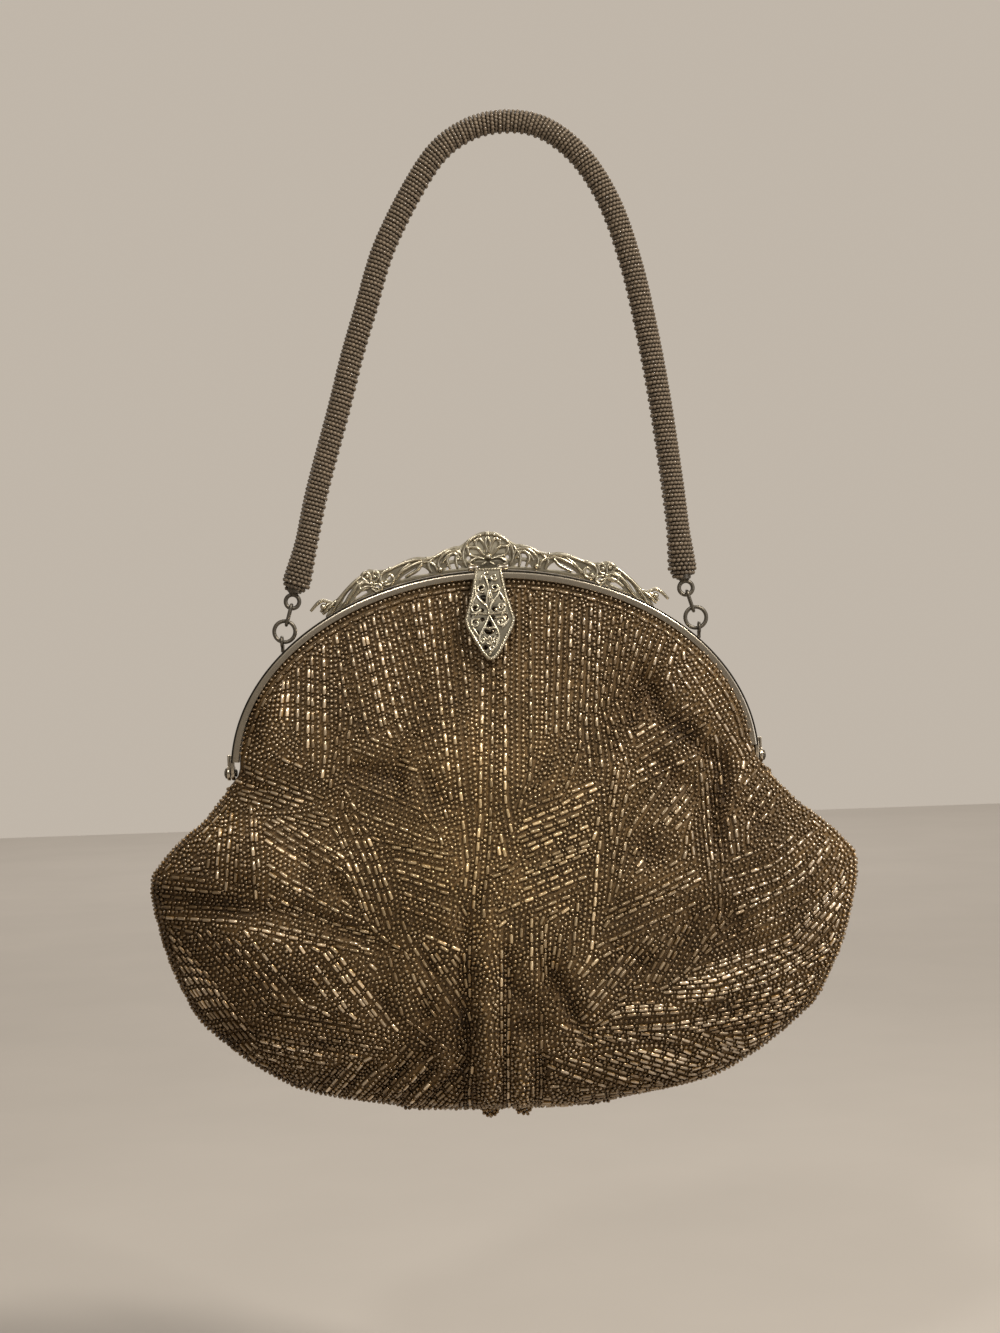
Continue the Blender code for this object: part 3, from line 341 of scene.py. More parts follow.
# Handle: the route of its middle line, as shares of its half span and its rise
HANDLE_ROUTE_SHARES = (
    (-1.0, 0.0), (-0.93, 0.103), (-0.862, 0.220), (-0.743, 0.385), (-0.66, 0.507),
    (-0.583, 0.605), (-0.463, 0.750), (-0.228, 0.918), (-0.034, 0.983), (0.177, 1.0),
    (0.369, 0.981), (0.547, 0.918), (0.69, 0.815), (0.79, 0.679), (0.855, 0.539),
    (0.903, 0.409), (0.94, 0.280), (0.972, 0.149), (1.0, 0.0),
)
HANDLE_STEP = 1.0 * MM
HANDLE_RADIUS = 3.75 * MM
HANDLE_HALF_HEIGHT = 3.7 * MM
HANDLE_TUBE_RADIUS = 2.55 * MM
HANDLE_END_SWELL = 0.9 * MM
HANDLE_SWELL_LENGTH = 17 * MM
HANDLE_TURN_PITCH = 1.22 * MM
HANDLE_RIB_DEPTH = 0.2 * MM
HANDLE_CLOSING = 1.5 * MM
TUBE_CLOSING = 1.2 * HANDLE_CLOSING
HANDLE_CLOSING_LENGTH = 3.2 * MM
HANDLE_BEADS_A_TURN = 16.5
EYE_RADIUS = 2.05 * MM
EYE_WIRE_RADIUS = 0.62 * MM
PLUG_STANDOFF = 0.8 * MM
RING_RADIUS = 3.15 * MM
RING_WIRE_RADIUS = 0.6 * MM
LINK_END_RADIUS = 1.18 * MM
LINK_WIRE_RADIUS = 0.48 * MM
LINK_STEPS = 12
CAP_RADIUS = 2.3 * MM
CAP_SHARES = (0.45, 0.62, 0.95, 1.0, 0.9)

# Crest: its plate, and what is raised on it, as the photograph's pixels for the right half
CREST_MIDDLE_Y = 2.2 * MM
CREST_FACE = 0.6 * MM
CREST_BEVEL = 0.25 * MM
CREST_FOOT_STEPS = 30
SCROLL_RADIUS = 0.56 * MM
SCROLL_LIFT = 0.12 * MM
CREST_EDGE_PIXELS = (
    (487.5, 530.5), (495, 531.5), (503, 535), (509, 539.5), (515, 543), (521, 543.5), (528, 545.5),
    (536, 549.5), (544, 552.5), (552, 552), (560, 551.5), (569, 553.5), (578, 557), (587, 560.5),
    (595, 562), (602, 561.5), (608, 560.5), (614, 564), (620, 569), (627, 574.5), (634, 581),
    (640, 588), (645, 593), (650, 598), (654, 604),
)
CREST_HOLE_PIXELS = (
    ((504.5, 556), (507.5, 553.5), (510, 556.5), (507.5, 559.5)),
    ((512, 565.5), (516, 561), (523, 559.5), (530, 562), (534.5, 567.5), (523, 567.2)),
    ((516, 556.5), (520, 552.5), (526, 553), (531, 557.5), (524, 557.5)),
    ((542, 569), (546, 562.5), (553, 559.5), (561, 561), (569, 565), (577, 569.5), (583, 575.3),
     (570, 572.4), (556, 570.6)),
    ((591, 570.5), (588.5, 573), (585.5, 570), (588.5, 567)),
    ((597, 579), (600, 575.5), (603.5, 578.5), (602, 581.3)),
    ((608, 582.5), (614, 580), (620, 583), (626, 590.5), (617, 587.3)),
    ((623.5, 576.5), (628, 579), (634.5, 586.5), (638.5, 594), (634, 592), (628, 584.5)),
    ((641.5, 592.5), (645, 596), (649, 600.6), (645, 599.5), (642, 597.2)),
)
CREST_HOLE_SHARE = 0.7
CREST_SCROLL_PIXELS = (
    ((487.5, 533), (497, 534.5), (506, 539.5), (511.5, 547), (513, 556), (510, 565)),
    ((512, 562), (513.5, 554), (518, 548.5), (526, 548), (533, 552), (538, 558.5), (537, 566)),
    ((514.5, 558), (521, 550.5), (529, 553.5), (534, 560)),
    ((520, 545.5), (530, 547.5), (540, 552.5), (550, 554.5), (562, 554.5), (574, 557.5), (586, 562),
     (596, 566)),
    ((539, 568), (542, 561), (549, 557.2), (558, 557.5), (568, 561.5), (578, 567.5), (587, 577)),
    ((578, 559.5), (588, 562), (595, 566), (597, 572), (593, 577.5), (586.5, 576.5), (583.5, 571.5),
     (587, 567), (591, 570)),
    ((606, 574), (600, 571.5), (598.5, 565.5), (603, 563.5), (606.5, 570)),
    ((607, 574), (607, 567), (611, 563.5), (615.5, 567.5), (610, 573.5)),
    ((607, 576), (613, 573.5), (618.5, 576.5), (616, 580.5), (608.5, 579)),
    ((605, 576), (599, 576), (596, 580.5), (601, 583.5), (606, 580)),
    ((611, 571), (619, 575), (627, 583.5), (633, 592), (638, 598.5)),
    ((613, 565.5), (622, 571.5), (631, 579.5), (640, 588.5), (646, 593)),
    ((640, 588), (645.5, 591.5), (650.5, 590.5), (656, 588.5), (662, 591.5), (669, 598.5)),
    ((489, 552), (491, 543), (496, 537.5), (499.5, 543.5), (493.5, 553)),
    ((491, 555), (498, 547), (507, 546), (505.5, 553.5), (494, 557)),
    ((491, 558.5), (499, 557), (506.5, 562), (498, 566), (489.5, 561.5)),
    ((487.5, 551), (489.8, 543), (487.5, 536)),
    ((514, 546), (520, 556), (519, 566)), ((524, 549), (529, 557), (526, 566)),
    ((541, 553), (548, 560), (545, 568)), ((552, 556), (560, 565), (572, 571)),
    ((566, 557), (575, 564), (582, 573)), ((600, 580), (612, 578), (624, 586)),
    ((618, 572), (628, 586), (636, 597)), ((634, 583), (641, 592), (648, 602)),
    ((642, 590), (650, 596), (657, 602.5)),
    ((644, 591), (652, 593.5), (659, 600)),
)
# Pearls: a pixel and a radius in millimetres
CREST_PEARL_PIXELS = (
    (487.5, 556.5, 1.15), (536.5, 566, 0.9), (592, 575, 0.85), (603, 568.3, 0.75), (610, 567.5, 0.75),
    (656, 595, 0.95), (549, 553.5, 0.55), (571, 556, 0.55), (500, 539.5, 0.6), (508.5, 545, 0.6),
    (628, 577, 0.5), (587, 561, 0.5), (606.5, 575, 0.8), (518, 557, 0.5), (644, 591, 0.6),
    (487.5, 533.5, 0.8), (494, 534.2, 0.55), (560, 554.5, 0.45), (581, 571, 0.45), (620, 573, 0.5),
)

# Clasp plate: half outline, as shares of its half width and length
PLATE_LENGTH = 27.2 * MM
PLATE_HALF_WIDTH = 7.0 * MM
PLATE_TILT = math.radians(11.7)
PLATE_FACE = 0.4 * MM
PLATE_TOP_Y = -5.2 * MM
PLATE_SEAT = 0.75 * MM
PLATE_BEVEL = 0.16 * MM
PLATE_HOLE_SIDES = 14
CURL_RADIUS = 0.36 * MM
CURL_LIFT = 0.08 * MM
CURL_DEGREES = 420
CURL_STEPS = 24
CURL_CLOSING = 0.66
RIM_LIFT = 0.1 * MM
PEARL_LIFT = 0.05 * MM
MILGRAIN_Y = -0.42 * MM
RIM_RADIUS = 0.6 * MM
PLATE_OUTLINE_SHARES = (
    (0.50, 0.0), (0.56, 0.10), (0.70, 0.30), (0.88, 0.46), (1.0, 0.56),
    (0.92, 0.64), (0.64, 0.78), (0.34, 0.92), (0.14, 0.985), (0.0, 1.0),
)
# How the photograph lies over the plate: its top pixel, half width, length and lean in pixels
PLATE_TOP_PIXEL = (490, 571)
PLATE_HALF_WIDTH_PIXELS = 23.2
PLATE_LENGTH_PIXELS = 92
PLATE_LEAN = 0.035
# Round holes: pixel and radius in pixels
PLATE_ROUND_PIXELS = (
    (489.8, 584.2, 2.8), (483.6, 590.4, 2.6), (496.2, 590.2, 2.0), (477.0, 611.3, 2.4),
    (503.0, 610.2, 1.4), (483.8, 613.4, 2.0), (496.0, 612.2, 2.3), (477.0, 624.8, 2.0),
    (502.4, 625.8, 1.4), (484.6, 622.8, 2.0), (495.0, 621.4, 2.2), (486.4, 642.2, 1.4),
    (496.0, 642.0, 1.5), (487.6, 651.4, 2.5),
)
PLATE_HOLE_PIXELS = (
    ((482, 599), (487.4, 598), (486.4, 604.8)), ((501.4, 598.6), (504, 600.6), (502.6, 603.6)),
    ((475.4, 600), (477, 602), (475.6, 605)),
    ((506.2, 617), (508.8, 619), (509.4, 623.4), (506.4, 620.6)),
    ((491.2, 624), (494, 629.6), (488.8, 629.6)),
    ((486.2, 633.4), (490.4, 634.2), (491.8, 635.6), (494.6, 633), (497, 634.4), (494, 637.6),
     (488.6, 637.8)),
    ((478.8, 634.6), (481, 634.6), (481.6, 638.6), (480.2, 640.6)),
    ((472.6, 616.4), (474.2, 618), (473.0, 621)),
)
# Curled wires: pixel, radius in pixels, first angle in degrees and hand
PLATE_CURL_PIXELS = (
    (483.6, 590.3, 4.8, 60, 1), (496.2, 590.3, 4.4, 120, -1), (477.8, 610.6, 5.4, 20, 1),
    (502.7, 610.4, 6.0, 160, -1), (477.8, 626.4, 5.2, 320, -1), (502.4, 625.8, 6.0, 220, 1),
    (502.9, 610.4, 3.2, 340, -1), (502.6, 625.8, 3.2, 40, 1), (495.6, 579.4, 3.6, 20, 1),
    (484.4, 645.2, 2.8, 200, 1), (497.6, 644.8, 3.0, 330, -1), (494.2, 652.4, 2.8, 80, 1),
)
PLATE_STRUT_PIXELS = (
    ((491.2, 618), (488, 627), (484.5, 634), (481.6, 642), (484, 648)),
    ((491.2, 618), (495.4, 627), (499.2, 634), (500.8, 641), (498, 650), (493, 657)),
    ((477.6, 588), (478.2, 597), (482.6, 604), (488, 608.6), (491, 616)),
    ((501.6, 590), (500.2, 597), (496.2, 603), (492.6, 609), (491, 616)),
    ((488.4, 609), (488.8, 601), (491.2, 592.6), (493.6, 601), (492.4, 610)),
    ((491.2, 594), (491.4, 606)),
    ((484.5, 576), (487.6, 580.6), (490, 589), (490.6, 594)), ((481.6, 584), (484, 578), (487, 574.6)),
    ((473, 617), (481, 616.2), (491, 617.4), (501, 616.4), (509, 617.2)),
    ((485.2, 632.6), (488.2, 631.2), (491.4, 632.6), (494.6, 631.2), (498, 632.6)),
    ((486, 640), (489.4, 643.6), (491.6, 640), (494, 643.8), (497.4, 640)),
    ((488.4, 645.6), (491.6, 648.4), (494.8, 645.6)), ((503, 633), (507, 628.6), (510.4, 623)),
    ((474.8, 630), (477.4, 634.4), (481, 640)), ((480.4, 594), (476.6, 601), (474, 609)),
    ((500.6, 594), (504.6, 601), (508, 609)),
)
PLATE_PEARL_PIXELS = (
    (490.4, 616.8, 0.62), (489.0, 574.8, 0.6), (492, 657.5, 0.6), (491.4, 631.8, 0.5),
    (491.4, 646.2, 0.45), (491.2, 600.6, 0.55), (477.8, 617.4, 0.4), (503.6, 618, 0.4),
    (484.6, 637.4, 0.4), (498.4, 637.6, 0.4),
)
MILGRAIN_PITCH = 0.85 * MM
MILGRAIN_RADIUS = 0.36 * MM

# Hem tufts
PICOT_X = 5.0 * MM
PICOT_HALF_WIDTH = 2.7 * MM
PICOT_HALF_HEIGHT = 1.6 * MM
PICOT_TRIES = 1600
PICOT_ROOM = 0.74

# Camera, floor and lamps
CAMERA_PLACE = (-0.0078, -0.65, -0.160)
CAMERA_LENS = 58.5
FLOOR_Z = -0.42
FLOOR_SIZE = 6.0
DIM_SHARE = 0.45
DIM_FROM, BRIGHT_FROM = -0.5, 0.6
# Lamps: name, place, target, size in metres, power in watts and colour
BAG_TARGET = (0, 0, -0.03)
LAMPS = (
    ("key_lamp", (0.58, -0.66, 0.66), BAG_TARGET, 0.16, 14.0, (1.0, 0.94, 0.85)),
    ("second_lamp", (-0.30, -1.0, 0.55), BAG_TARGET, 0.12, 4.0, (1.0, 0.96, 0.90)),
    ("fill_lamp", (0.9, -0.6, -0.1), BAG_TARGET, 0.7, 2.2, (0.97, 0.97, 1.0)),
    ("rim_lamp", (0.25, 0.7, 0.5), BAG_TARGET, 0.5, 1.6, (1.0, 0.97, 0.92)),
    ("floor_lamp", (0, 2.4, 1.6), (0, 2.4, FLOOR_Z), 2.4, 33.0, (1.0, 0.97, 0.93)),
)


class BagSizes(bpy.types.PropertyGroup):
    bugle_length: bpy.props.FloatProperty(
        name="Bugle length", description="Length of a bugle bead", default=2.75 * MM, unit="LENGTH")
    bugle_width: bpy.props.FloatProperty(
        name="Bugle width", description="Width of a bugle bead", default=1.24 * MM, unit="LENGTH")
    seed_width: bpy.props.FloatProperty(
        name="Seed width", description="Width of a seed bead", default=1.30 * MM, unit="LENGTH")
    wide_spacing: bpy.props.FloatProperty(
        name="Wide spacing", description="Distance between rows at the middle of the front",
        default=1.72 * MM, unit="LENGTH")
    close_spacing: bpy.props.FloatProperty(
        name="Close spacing", description="Distance between rows near the hem and sides",
        default=1.46 * MM, unit="LENGTH")
    fold_strength: bpy.props.FloatProperty(
        name="Fold strength", description="How far the folds stand out, as a share", default=1.2)
    seed: bpy.props.IntProperty(
        name="Seed", description="Start of the random numbers for the beads", default=11)


class BagColours(bpy.types.PropertyGroup):
    satin: bpy.props.FloatVectorProperty(
        name="Satin", description="Colour of the cloth under the beads", subtype="COLOR",
        default=(0.145, 0.087, 0.033))
    glass_dark: bpy.props.FloatVectorProperty(
        name="Dark glass", description="Colour of the darkest beads", subtype="COLOR",
        default=(0.150, 0.087, 0.027))
    glass_gold: bpy.props.FloatVectorProperty(
        name="Gold glass", description="Colour of the light beads at the middle of the front", subtype="COLOR",
        default=(0.432, 0.335, 0.191))
    glass_silver: bpy.props.FloatVectorProperty(
        name="Silver glass", description="Colour of the light beads at the sides and the hem", subtype="COLOR",
        default=(0.442, 0.374, 0.296))
    rope: bpy.props.FloatVectorProperty(
        name="Rope beads", description="Colour of the handle's beads", subtype="COLOR",
        default=(0.19, 0.145, 0.098))
    nickel: bpy.props.FloatVectorProperty(
        name="Nickel", description="Colour of the frame's plating", subtype="COLOR",
        default=(0.50, 0.44, 0.35))
    silver: bpy.props.FloatVectorProperty(
        name="Cast ornament", description="Colour of the crest and the clasp", subtype="COLOR",
        default=(0.50, 0.45, 0.34))
    lining: bpy.props.FloatVectorProperty(
        name="Lining", description="Colour of the lining", subtype="COLOR",
        default=(0.46, 0.37, 0.245))
    floor: bpy.props.FloatVectorProperty(
        name="Floor", description="Colour of the floor", subtype="COLOR", default=(0.44, 0.405, 0.365))
    surroundings: bpy.props.FloatVectorProperty(
        name="Surroundings", description="Colour round the bag", subtype="COLOR",
        default=(0.53, 0.47, 0.40))


# Places

def place(x, y, height):
    """World place of a point given from the bag's middle and its hem."""
    return Vector((AXIS_X + x, y, HEM_Z + height))


def other_side(point, side):
    """A point of the left side, or its mirror image on the right."""
    return Vector((2 * AXIS_X - point.x, point.y, point.z)) if side > 0 else point.copy()


def from_photo(pixel_x, pixel_y):
    """Place on the bag's plane, from the middle and the hem, of a pixel of the photograph."""
    across = (pixel_x - PHOTO_HEM_PIXEL[0]) * METRES_PER_PIXEL
    up = (PHOTO_HEM_PIXEL[1] - pixel_y) * METRES_PER_PIXEL
    cos, sin = math.cos(PHOTO_ROLL), math.sin(PHOTO_ROLL)
    return across * cos + up * sin, up * cos - across * sin


# Cloth surface

def smooth_table(at, xs, ys):
    """Smooth values between the rows of a table."""
    slopes = np.gradient(ys, xs)
    index = np.clip(np.searchsorted(xs, at) - 1, 0, len(xs) - 2)
    span = xs[index + 1] - xs[index]
    t = np.clip((at - xs[index]) / span, 0, 1)
    a, b = ys[index], ys[index + 1]
    ma, mb = slopes[index] * span, slopes[index + 1] * span
    return (
        (2 * t**3 - 3 * t**2 + 1) * a + (t**3 - 2 * t**2 + t) * ma
        + (3 * t**2 - 2 * t**3) * b + (t**3 - t**2) * mb
    )


def leaned(x):
    """Where a place of the upright outline lies on the pouch, which leans a little."""
    return x * (1 + LEAN_SHARE * x / POUCH_HALF_WIDTH)


def upright(x):
    """Undoes the lean."""
    return x / (1 + LEAN_SHARE * x / POUCH_HALF_WIDTH)


def arch_half_width(height, inset):
    up = np.clip((height - HINGE) / (FRAME_RISE - inset), 0, 1)
    return (FRAME_HALF_WIDTH - inset) * np.sqrt(1 - up * up)


def half_width(height, inset=0.0):
    """Half width of the cloth at a height, from the hem to the top of the arch."""
    height = np.asarray(height, float)
    shares = np.array(SECTION_SHARES)
    pouch = smooth_table(height, shares[:, 0] * POUCH_HEIGHT, shares[:, 1] * POUCH_HALF_WIDTH)
    neck_width = FRAME_HALF_WIDTH - NECK_INSET
    neck = np.interp(
        height, [POUCH_HEIGHT, POUCH_HEIGHT + NECK_LIFT, HINGE],
        [shares[-1, 1] * POUCH_HALF_WIDTH, neck_width, neck_width],
    )
    arch = arch_half_width(height, NECK_INSET)
    up = np.clip((height - POUCH_HEIGHT) / (HINGE - POUCH_HEIGHT), 0, 1)
    neck = neck + NECK_SPREAD * np.sin(math.pi * up)
    lower = np.where(height < POUCH_HEIGHT, pouch - SEAM_ALLOWANCE, neck)
    return np.maximum(np.where(height < HINGE, lower, arch) - inset, 1e-5)


def centre_depth(height):
    """How far the cloth stands out at the bag's middle."""
    height = np.asarray(height, float)
    shares = np.array(SECTION_SHARES)
    pouch = smooth_table(height, shares[:, 0] * POUCH_HEIGHT, shares[:, 2] * POUCH_HALF_DEPTH)
    rim = shares[-1, 2] * POUCH_HALF_DEPTH
    top = FRAME_TOP - NECK_INSET
    left = np.clip(1 - (height - POUCH_HEIGHT) / (top - POUCH_HEIGHT), 0, 1)
    panel = BAND_MIDDLE_Y + (rim - BAND_MIDDLE_Y) * left**FALL_POWER
    return np.where(height < POUCH_HEIGHT, pouch, panel)


def eased(values):
    t = np.clip(values, 0, 1)
    return t * t * (3 - 2 * t)


def stroke_distance(x, height, stroke):
    """Distance of points from a stroke of the photograph, and how far along it they are."""
    ax, ah = from_photo(stroke[0], stroke[1])
    bx, bh = from_photo(stroke[2], stroke[3])
    dx, dh = bx - ax, bh - ah
    t = np.clip(((x - ax) * dx + (height - ah) * dh) / (dx * dx + dh * dh), 0, 1)
    return np.hypot(x - ax - t * dx, height - ah - t * dh), t, math.atan2(dh, dx)


def folds(x, height):
    """Height of the folds and pleats over the smooth cloth."""
    total = np.zeros(np.broadcast(x, height).shape)
    for *stroke, width, rise in FOLD_STROKE_PIXELS:
        distance, t, _ = stroke_distance(x, height, stroke)
        fade = FOLD_END_SHARE + (1 - FOLD_END_SHARE) * np.sin(math.pi * np.clip(t * 0.86 + 0.14, 0, 1)) ** 0.5
        total += rise * MM * fade * np.exp(-((distance / (width * MM)) ** 2))
    ripple = RIPPLE_HEIGHT * np.sin(x / (9 * MM) + 1.3 * np.sin(height / (14 * MM)))
    return total + ripple * np.sin(height / (17 * MM) + 0.7)


def shade(x, height):
    """Painted shade of the cloth and its beads: darker in the folds' hollows, lighter on their ridges, and
    lighter or darker at the places of painted light and shade.
    """
    share = 1 + HOLLOW_SHADE_SHARE * np.clip(folds(x, height) / HOLLOW_DEPTH, *HOLLOW_LIMITS)
    for px, py, reach, change in PAINTED_LIGHT_PLACES:
        cx, ch = from_photo(px, py)
        share = share * (1 + change * np.exp(-((x - cx) ** 2 + (height - ch) ** 2) / (reach * MM) ** 2))
    return share


def cloth_depth(x, height, strength, inset=0.0):
    """How far the cloth stands out from the bag's middle plane at places (x, height)."""
    inside = np.clip(1 - (upright(x) / half_width(height, inset)) ** 2, 0, 1)
    edge = BAND_MIDDLE_Y * eased((height - HINGE + NECK_OPENING) / NECK_OPENING)
    deep = np.maximum(centre_depth(height) - BEAD_ALLOWANCE * eased(height / HEM_EASE), edge)
    under_arch = eased((FRAME_TOP - BULGE_TOP_GAP - height) / BULGE_EASE)
    bulge = strength * folds(x, height) * inside**BULGE_POWER * under_arch
    closed = np.clip((height - HEM_LOW - inset) / HEM_CLOSING, 0, 1)
    return (edge + (deep - edge) * inside**SECTION_POWER + bulge) * np.sqrt(closed * (2 - closed))


# Making things

def clear_selection():
    bpy.ops.object.select_all(action="DESELECT")


def only(made):
    """Selects one object alone and makes it the active one."""
    clear_selection()
    made.select_set(True)
    bpy.context.view_layer.objects.active = made


def settle(made, name):
    """Names an object and moves its place into its mesh."""
    only(made)
    bpy.ops.object.transform_apply(location=True, rotation=True, scale=True)
    made.name = name
    made.data.name = name
    return made


def join(pieces, name):
    clear_selection()
    for piece in pieces:
        piece.select_set(True)
    bpy.context.view_layer.objects.active = pieces[0]
    bpy.ops.object.join()
    return settle(bpy.context.object, name)


def smooth(made, degrees=40):
    only(made)
    bpy.ops.object.shade_smooth_by_angle(angle=math.radians(degrees))
    return made


def add_object(name, data):
    made = bpy.data.objects.new(name, data)
    bpy.context.scene.collection.objects.link(made)
    return made


def shape_with(made, kind, **settings):
    """Adds a modifier and applies it."""
    change = made.modifiers.new(kind.lower(), kind)
    for name, value in settings.items():
        setattr(change, name, value)
    only(made)
    bpy.ops.object.modifier_apply(modifier=change.name)
    return made


def trace(loops, closed):
    """A flat curve of straight runs through points of a plane."""
    bpy.ops.object.add(type="CURVE", location=(0, 0, 0))
    made = bpy.context.object
    made.data.dimensions = "2D"
    for loop in loops:
        spline = made.data.splines.new("POLY")
        spline.points.add(len(loop) - 1)
        for point, (x, y) in zip(spline.points, loop):
            point.co = (x, y, 0, 1)
        spline.use_cyclic_u = closed
    return made


def as_mesh(curve, threshold=1e-6):
    """Turns a curve into a mesh without doubles whose faces point outwards."""
    only(curve)
    bpy.ops.object.convert(target="MESH")
    made = bpy.context.object
    bpy.ops.object.mode_set(mode="EDIT")
    bpy.ops.mesh.select_all(action="SELECT")
    bpy.ops.mesh.remove_doubles(threshold=threshold)
    bpy.ops.mesh.normals_make_consistent(inside=False)
    bpy.ops.object.mode_set(mode="OBJECT")
    return made


def wires(name, runs, radius, sides):
    """Round wires along routes. A run is its points, shares of the radius or None, and if it closes."""
    bpy.ops.object.add(type="CURVE", location=(0, 0, 0))
    made = bpy.context.object
    data = made.data
    data.dimensions = "3D"
    data.bevel_depth = radius
    data.bevel_resolution = sides
    data.use_fill_caps = True
    for points, shares, closed in runs:
        spline = data.splines.new("POLY")
        spline.points.add(len(points) - 1)
        for index, point in enumerate(points):
            spline.points[index].co = (*point, 1)
            spline.points[index].radius = shares[index] if shares else 1
        spline.use_cyclic_u = closed
    return smooth(settle(as_mesh(made), name), 60)


def between(before, here, after, beyond, t):
    """A point of the smooth route from here to after."""
    return 0.5 * (
        2 * here + (after - before) * t
        + (2 * before - 5 * here + 4 * after - beyond) * t * t
        + (3 * here - before - 3 * after + beyond) * t**3
    )


def curved(points, steps):
    """A smooth route through a few points."""
    points = [Vector(point) for point in points]
    held = [2 * points[0] - points[1], *points, 2 * points[-1] - points[-2]]
    route = []
    for index in range(1, len(held) - 2):
        route += [between(*held[index - 1 : index + 3], step / steps) for step in range(steps)]
    return [*route, points[-1]]


def run_lengths(points):
    """Length along a route at each of its points."""
    return np.concatenate([[0], np.cumsum(np.linalg.norm(np.diff(points, axis=0), axis=1))])


def at_lengths(lengths, total, points):
    """Points of a route at lengths along it."""
    return np.column_stack([np.interp(lengths, total, column) for column in points.T])


def headings(lengths, total, points):
    """Where a route is heading at lengths along it."""
    return at_lengths(lengths + ROW_STEP, total, points) - at_lengths(lengths - ROW_STEP, total, points)


def unit(vectors):
    return vectors / np.linalg.norm(vectors, axis=1)[:, None]


def coordinates(mesh):
    flat = np.empty(len(mesh.vertices) * 3)
    mesh.vertices.foreach_get("co", flat)
    return flat.reshape(-1, 3)


def rod(name, radius, length, middle, bevel=0.0, vertices=32):
    """A cylinder along X with eased edges."""
    bpy.ops.mesh.primitive_cylinder_add(
        vertices=vertices, radius=radius, depth=length, location=middle, rotation=ALONG_X)
    made = settle(bpy.context.object, name)
    return ease_edges(made, bevel) if bevel else smooth(made)


def ease_edges(made, width):
    return smooth(shape_with(made, "BEVEL", width=width, segments=2, limit_method="ANGLE"))


def torus(name, middle, radius, wire_radius, rotation, steps=48, sides=14):
    bpy.ops.mesh.primitive_torus_add(
        major_segments=steps, minor_segments=sides, major_radius=radius, minor_radius=wire_radius,
        location=middle, rotation=rotation)
    return smooth(settle(bpy.context.object, name), 80)


def take_apart(made):
    """Points and faces of an object, which goes."""
    points = np.array([vert.co for vert in made.data.vertices])
    faces = [tuple(face.vertices) for face in made.data.polygons]
    bpy.data.objects.remove(made)
    return points, faces


def template(kind):
    """Points and faces of one bead of unit size: its hole runs along X and a corner is up along Z."""
    clear_selection()
    if kind == "bugle":
        bpy.ops.mesh.primitive_cylinder_add(vertices=6, radius=0.5, depth=1, rotation=ALONG_X)
    else:
        bpy.ops.mesh.primitive_uv_sphere_add(segments=6, ring_count=4, radius=0.5, rotation=ALONG_X)
    made = settle(bpy.context.object, kind)
    if kind == "bugle":
        shape_with(made, "BEVEL", width=0.09, limit_method="ANGLE", angle_limit=math.radians(70))
    points, faces = take_apart(made)
    around = np.arctan2(points[:, 2], points[:, 1])
    turn = math.pi / 2 - around[np.argmax(points[:, 2])]
    cos, sin = math.cos(turn), math.sin(turn)
    return np.column_stack([points[:, 0], points[:, 1:] @ np.array([[cos, sin], [-sin, cos]])]), faces


def note(mesh, word, values):
    """Keeps a number for each point of a mesh, for its finish to read."""
    attribute = mesh.attributes.new(word, "FLOAT", "POINT")
    attribute.data.foreach_set("value", np.array(values, np.float32))


def stamp(name, kind, places, axes, sizes, tones, golds=0.3, shades=1.0):
    """One mesh of many beads, each with its place, axes, sizes, tone, share of gold and shade."""
    points, faces = template(kind)
    places, axes, sizes = np.array(places), np.array(axes), np.array(sizes)
    local = points[None, :, :] * sizes[:, None, :]
    verts = places[:, None, :] + np.einsum("nvk,nkj->nvj", local, axes)
    count, each = len(places), len(points)
    corner = np.concatenate([np.array(face) for face in faces])
    totals = np.array([len(face) for face in faces])
    corners = (corner[None, :] + each * np.arange(count)[:, None]).ravel()
    starts = np.concatenate([[0], np.cumsum(np.tile(totals, count))[:-1]])
    mesh = bpy.data.meshes.new(name)
    mesh.vertices.add(count * each)
    mesh.vertices.foreach_set("co", verts.ravel().astype(np.float32))
    mesh.loops.add(len(corners))
    mesh.loops.foreach_set("vertex_index", corners.astype(np.int32))
    mesh.polygons.add(len(totals) * count)
    mesh.polygons.foreach_set("loop_start", starts.astype(np.int32))
    mesh.polygons.foreach_set("use_smooth", np.ones(len(totals) * count, bool))
    mesh.update(calc_edges=True)
    mesh.validate()
    for word, values in (("tone", tones), ("gold", golds), ("shade", shades)):
        note(mesh, word, np.repeat(np.broadcast_to(values, count), each))
    # Height of each point over the bead's middle, which places the painted highlight along its crown
    note(mesh, "crown", np.tile(np.clip(2 * points[:, 2], 0, 1), count))
    return add_object(name, mesh)


def dress(made, material, body):
    """Gives a piece its finish, and the body it rides on."""
    made.data.materials.clear()
    made.data.materials.append(bpy.data.materials[material])
    if body:
        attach(made, body)
    return made


# Finishes

class Tree:
    """Nodes under making, and how they are linked."""

    def __init__(self, tree):
        self.nodes, self.links = tree.nodes, tree.links

    def add(self, kind, inputs=None, **settings):
        node = self.nodes.new(kind)
        for name, value in settings.items():
            setattr(node, name, value)
        for name, value in (inputs or {}).items():
            if isinstance(value, bpy.types.NodeSocket):
                self.links.new(value, node.inputs[name])
            else:
                node.inputs[name].default_value = value
        return node

    def mix(self, factor, first, second, blend="MIX"):
        inputs = {0: factor}
        for slot, colour in ((6, first), (7, second)):
            inputs[slot] = colour if isinstance(colour, bpy.types.NodeSocket) else (*colour, 1)
        return self.add("ShaderNodeMix", inputs, data_type="RGBA", blend_type=blend).outputs[2]


